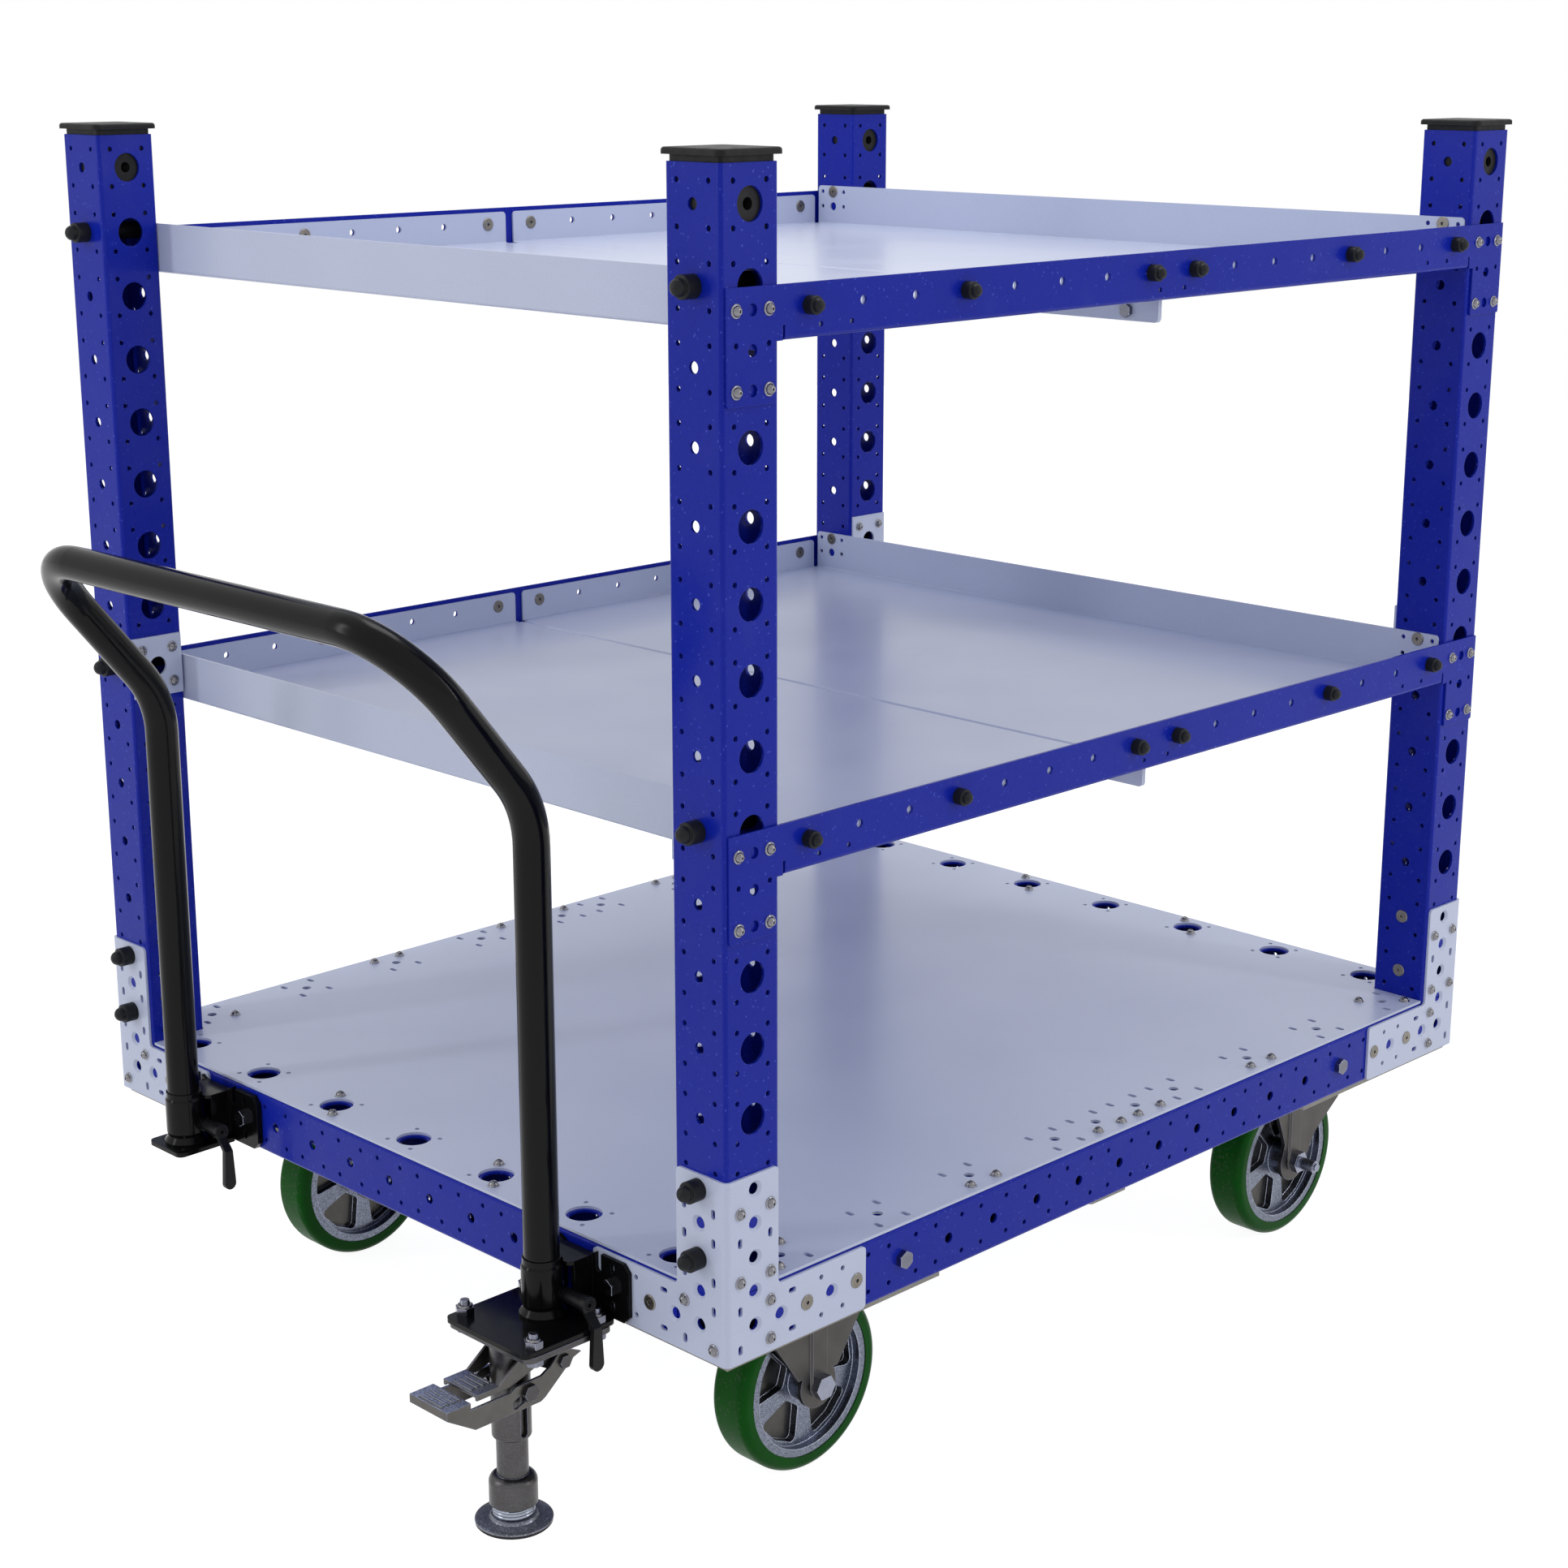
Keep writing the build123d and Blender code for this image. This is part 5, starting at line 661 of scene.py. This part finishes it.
disc = bmesh.new()
turned(disc, [
    (0, PAD_HEIGHT),
    (foot_radius - 2 * MM, PAD_HEIGHT),
    *arc((foot_radius - DISC_LIP, PAD_HEIGHT + 1.6 * MM), DISC_LIP, -60, 90, 6),
    (foot_radius - 3 * MM, DISC_TOP - 0.6 * MM),
    (foot_radius - 9 * MM, DISC_TOP - 0.3 * MM),
    (COLLAR_RADIUS + 1.5 * MM, DISC_TOP),
    *arc((COLLAR_RADIUS - COLLAR_ROUND, COLLAR_TOP - COLLAR_ROUND), COLLAR_ROUND, 0, 90, 4),
    (SPRING_RADIUS - SPRING_WIRE, COLLAR_TOP),
    (ROD_RADIUS, COLLAR_TOP + 1 * MM),
    (ROD_RADIUS, foot_height),
    (0, foot_height),
], foot_place, FOOT_SEGMENTS)
finished(disc, "foot_disc", "lock_plunger_body", foot_plating(), ["lock_foot"])

pad = bmesh.new()
turned(pad, [
    (0, 0),
    (foot_radius - 5 * MM, 0),
    (foot_radius - 1.6 * MM, 0.4 * MM),
    (foot_radius - 0.6 * MM, PAD_HEIGHT / 2),
    (foot_radius - 1.0 * MM, PAD_HEIGHT),
    (foot_radius - 2.6 * MM, PAD_HEIGHT + 0.2 * MM),
    (0, PAD_HEIGHT + 0.2 * MM),
], foot_place, FOOT_SEGMENTS)
finished(pad, "foot_pad", "lock_plunger_body", rubber)

spring = bmesh.new()
spring_low = COLLAR_TOP + SPRING_WIRE / 2
spring_high = foot_height - 0.2 * MM - SPRING_WIRE / 2
coiled(spring, foot_place, SPRING_RADIUS, SPRING_WIRE, (spring_low, spring_high), SPRING_TURNS)
finished(spring, "foot_spring", "lock_plunger_body", spring_wire)

RIB_PITCH = 7 * MM
RIB_MARGIN = 12.5 * MM
RIB_HALF_WIDTH = 1.8 * MM
RIB_RISE = 1.5 * MM
RIBS = 4
# node, body, the tread's depth along the cart, its drop under the base frame
TREADS = (("lock_pedal", "lock_pedal_body", 29 * MM, 41 * MM),
          ("release_pedal", "release_pedal_body", 28 * MM, 38 * MM))
base_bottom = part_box("base_beam_front")[0].z
for node, body, depth, drop in TREADS:
    low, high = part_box(node)
    first_x = low.x + depth / 2 - RIB_PITCH * (RIBS - 1) / 2
    top = base_bottom - drop
    ribs = bmesh.new()
    for index in range(RIBS):
        start = Vector((first_x + RIB_PITCH * index, low.y + RIB_MARGIN, top))
        end = Vector((start.x, high.y - RIB_MARGIN, top))
        capsule_bar(ribs, start, end, RIB_HALF_WIDTH, RIB_RISE)
    finished(ribs, node + "_ribs", body, finishes["pedal_steel"])

NUT_HEIGHT = 8 * MM
COLLAR_BORE = 5.1 * MM
COLLAR_FLANGE = 7.9 * MM
COLLAR_SINK = 0.6 * MM
STUD_RADIUS = 5.05 * MM
STUD_LENGTH = 7 * MM
THREAD_PITCH = 1.5 * MM
THREAD_DEPTH = 0.55 * MM
lock_low, lock_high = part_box("lock_housing")
collars = bmesh.new()
studs = bmesh.new()
for points in solids_of("hex_bolts"):
    low, high = box_of(points)
    centre = (low + high) / 2
    over_lock = lock_low.x < centre.x < lock_high.x and lock_low.y < centre.y < lock_high.y
    is_nut = abs(high.z - low.z - NUT_HEIGHT) < 0.1 * MM
    if over_lock and is_nut and low.z > lock_high.z:
        place = Matrix.Translation(Vector((centre.x, centre.y, high.z)))
        turned(collars, [
            (COLLAR_BORE, -COLLAR_SINK),
            (COLLAR_FLANGE, -COLLAR_SINK),
            *arc((6.2 * MM, 1.0 * MM), 1.4 * MM, -20, 90, 6),
            (COLLAR_BORE, 2.2 * MM),
        ], place, 40)
        threaded(studs, place, STUD_RADIUS, STUD_LENGTH, THREAD_PITCH, THREAD_DEPTH)
finished(collars, "lock_nut_collars", "frame", finishes["bright_screw"])
finished(studs, "lock_bolt_ends", "frame", finishes["zinc_hex"])

# ---------------------------------------------------------------------------------------------
# Studio: pale floor, white surroundings, soft lamps
# ---------------------------------------------------------------------------------------------
WORLD_LEVEL = 0.72
FLOOR_GLOW = 0.93
FLOOR_SHADE = (0.30, 0.30, 0.30, 1)
FLOOR_PLAIN = (0.82, 0.82, 0.82, 1)
FLOOR_RADIUS = 9.0
FLOOR_DROP = 0.5 * MM


def seen_or_mirrored(tree):
    """1 for rays from the camera, a mirror or glass, 0 for the light that falls on things."""
    path = tree.nodes.new("ShaderNodeLightPath")
    total = path.outputs["Is Camera Ray"]
    for name in ("Is Glossy Ray", "Is Transmission Ray"):
        node = tree.nodes.new("ShaderNodeMath")
        node.operation = "MAXIMUM"
        tree.links.new(total, node.inputs[0])
        tree.links.new(path.outputs[name], node.inputs[1])
        total = node.outputs[0]
    return total


def studio_world(strength):
    """White where it is seen or mirrored, and a softer light on everything."""
    world = bpy.data.worlds.new("studio")
    bpy.context.scene.world = world
    world.use_nodes = True
    tree = world.node_tree
    tree.nodes.clear()
    output = tree.nodes.new("ShaderNodeOutputWorld")
    chooser = tree.nodes.new("ShaderNodeMixShader")
    tree.links.new(seen_or_mirrored(tree), chooser.inputs[0])
    for socket, level in ((1, strength), (2, 1.0)):
        background = tree.nodes.new("ShaderNodeBackground")
        background.inputs["Color"].default_value = (1, 1, 1, 1)
        background.inputs["Strength"].default_value = level
        tree.links.new(background.outputs[0], chooser.inputs[socket])
    tree.links.new(chooser.outputs[0], output.inputs[0])


def floor_material():
    """White where it is seen, darker in the object's shadow, plain for bounced light."""
    material = bpy.data.materials.new("floor_paint")
    material.use_nodes = True
    tree = material.node_tree
    tree.nodes.clear()
    output = tree.nodes.new("ShaderNodeOutputMaterial")
    chooser = tree.nodes.new("ShaderNodeMixShader")
    tree.links.new(seen_or_mirrored(tree), chooser.inputs[0])
    plain = tree.nodes.new("ShaderNodeBsdfDiffuse")
    plain.inputs["Color"].default_value = FLOOR_PLAIN
    shaded = tree.nodes.new("ShaderNodeBsdfDiffuse")
    shaded.inputs["Color"].default_value = FLOOR_SHADE
    glow = tree.nodes.new("ShaderNodeEmission")
    glow.inputs["Strength"].default_value = FLOOR_GLOW
    both = tree.nodes.new("ShaderNodeAddShader")
    tree.links.new(shaded.outputs[0], both.inputs[0])
    tree.links.new(glow.outputs[0], both.inputs[1])
    tree.links.new(plain.outputs[0], chooser.inputs[1])
    tree.links.new(both.outputs[0], chooser.inputs[2])
    tree.links.new(chooser.outputs[0], output.inputs[0])
    return material


def floor(radius):
    """A round floor just under the wheels."""
    mesh = bmesh.new()
    bmesh.ops.create_circle(mesh, cap_ends=True, radius=radius, segments=96)
    data = bpy.data.meshes.new("floor")
    mesh.to_mesh(data)
    mesh.free()
    data.materials.append(floor_material())
    piece = bpy.data.objects.new("floor", data)
    piece.location.z = cad_low.z - FLOOR_DROP
    bpy.context.scene.collection.objects.link(piece)


def lamp(name, spot, target, width, height, power):
    """A soft area lamp at a spot, turned to its target, its power in watts."""
    data = bpy.data.lights.new(name, "AREA")
    data.shape = "RECTANGLE"
    data.size = width
    data.size_y = height
    data.energy = power
    piece = bpy.data.objects.new(name, data)
    piece.location = spot
    piece.rotation_euler = (Vector(target) - Vector(spot)).to_track_quat("-Z", "Y").to_euler()
    bpy.context.scene.collection.objects.link(piece)


studio_world(WORLD_LEVEL)
floor(FLOOR_RADIUS)
lamp("overhead", (0.4, 0.3, 3.6), (0.1, 0.0, 0.6), 1.4, 1.4, 22)
lamp("front_strip", (-3.0, 1.4, 2.0), (-0.4, 0.2, 0.7), 0.22, 2.2, 16)
lamp("right_strip", (1.4, -3.0, 2.0), (0.1, -0.3, 0.6), 0.22, 2.4, 16)

# ---------------------------------------------------------------------------------------------
# Camera: at the handle's end, to the right of the cart, a little above the top shelf
# ---------------------------------------------------------------------------------------------
CAMERA_SPOT = Vector((-2.20204, -2.26770, 1.46020))
CAMERA_FORWARD = Vector((0.68241, 0.68299, -0.26046))
LENS = 63.86
SENSOR_WIDTH = 36
SHIFT_Y = 0.0028
CLIP_END = 60

camera_data = bpy.data.cameras.new("camera")
camera_data.sensor_width = SENSOR_WIDTH
camera_data.lens = LENS
camera_data.shift_y = SHIFT_Y
camera_data.clip_end = CLIP_END
camera = bpy.data.objects.new("camera", camera_data)
camera.location = CAMERA_SPOT
camera.rotation_euler = CAMERA_FORWARD.to_track_quat("-Z", "Y").to_euler()
bpy.context.scene.collection.objects.link(camera)
bpy.context.scene.camera = camera
bpy.context.scene.view_settings.view_transform = "Standard"
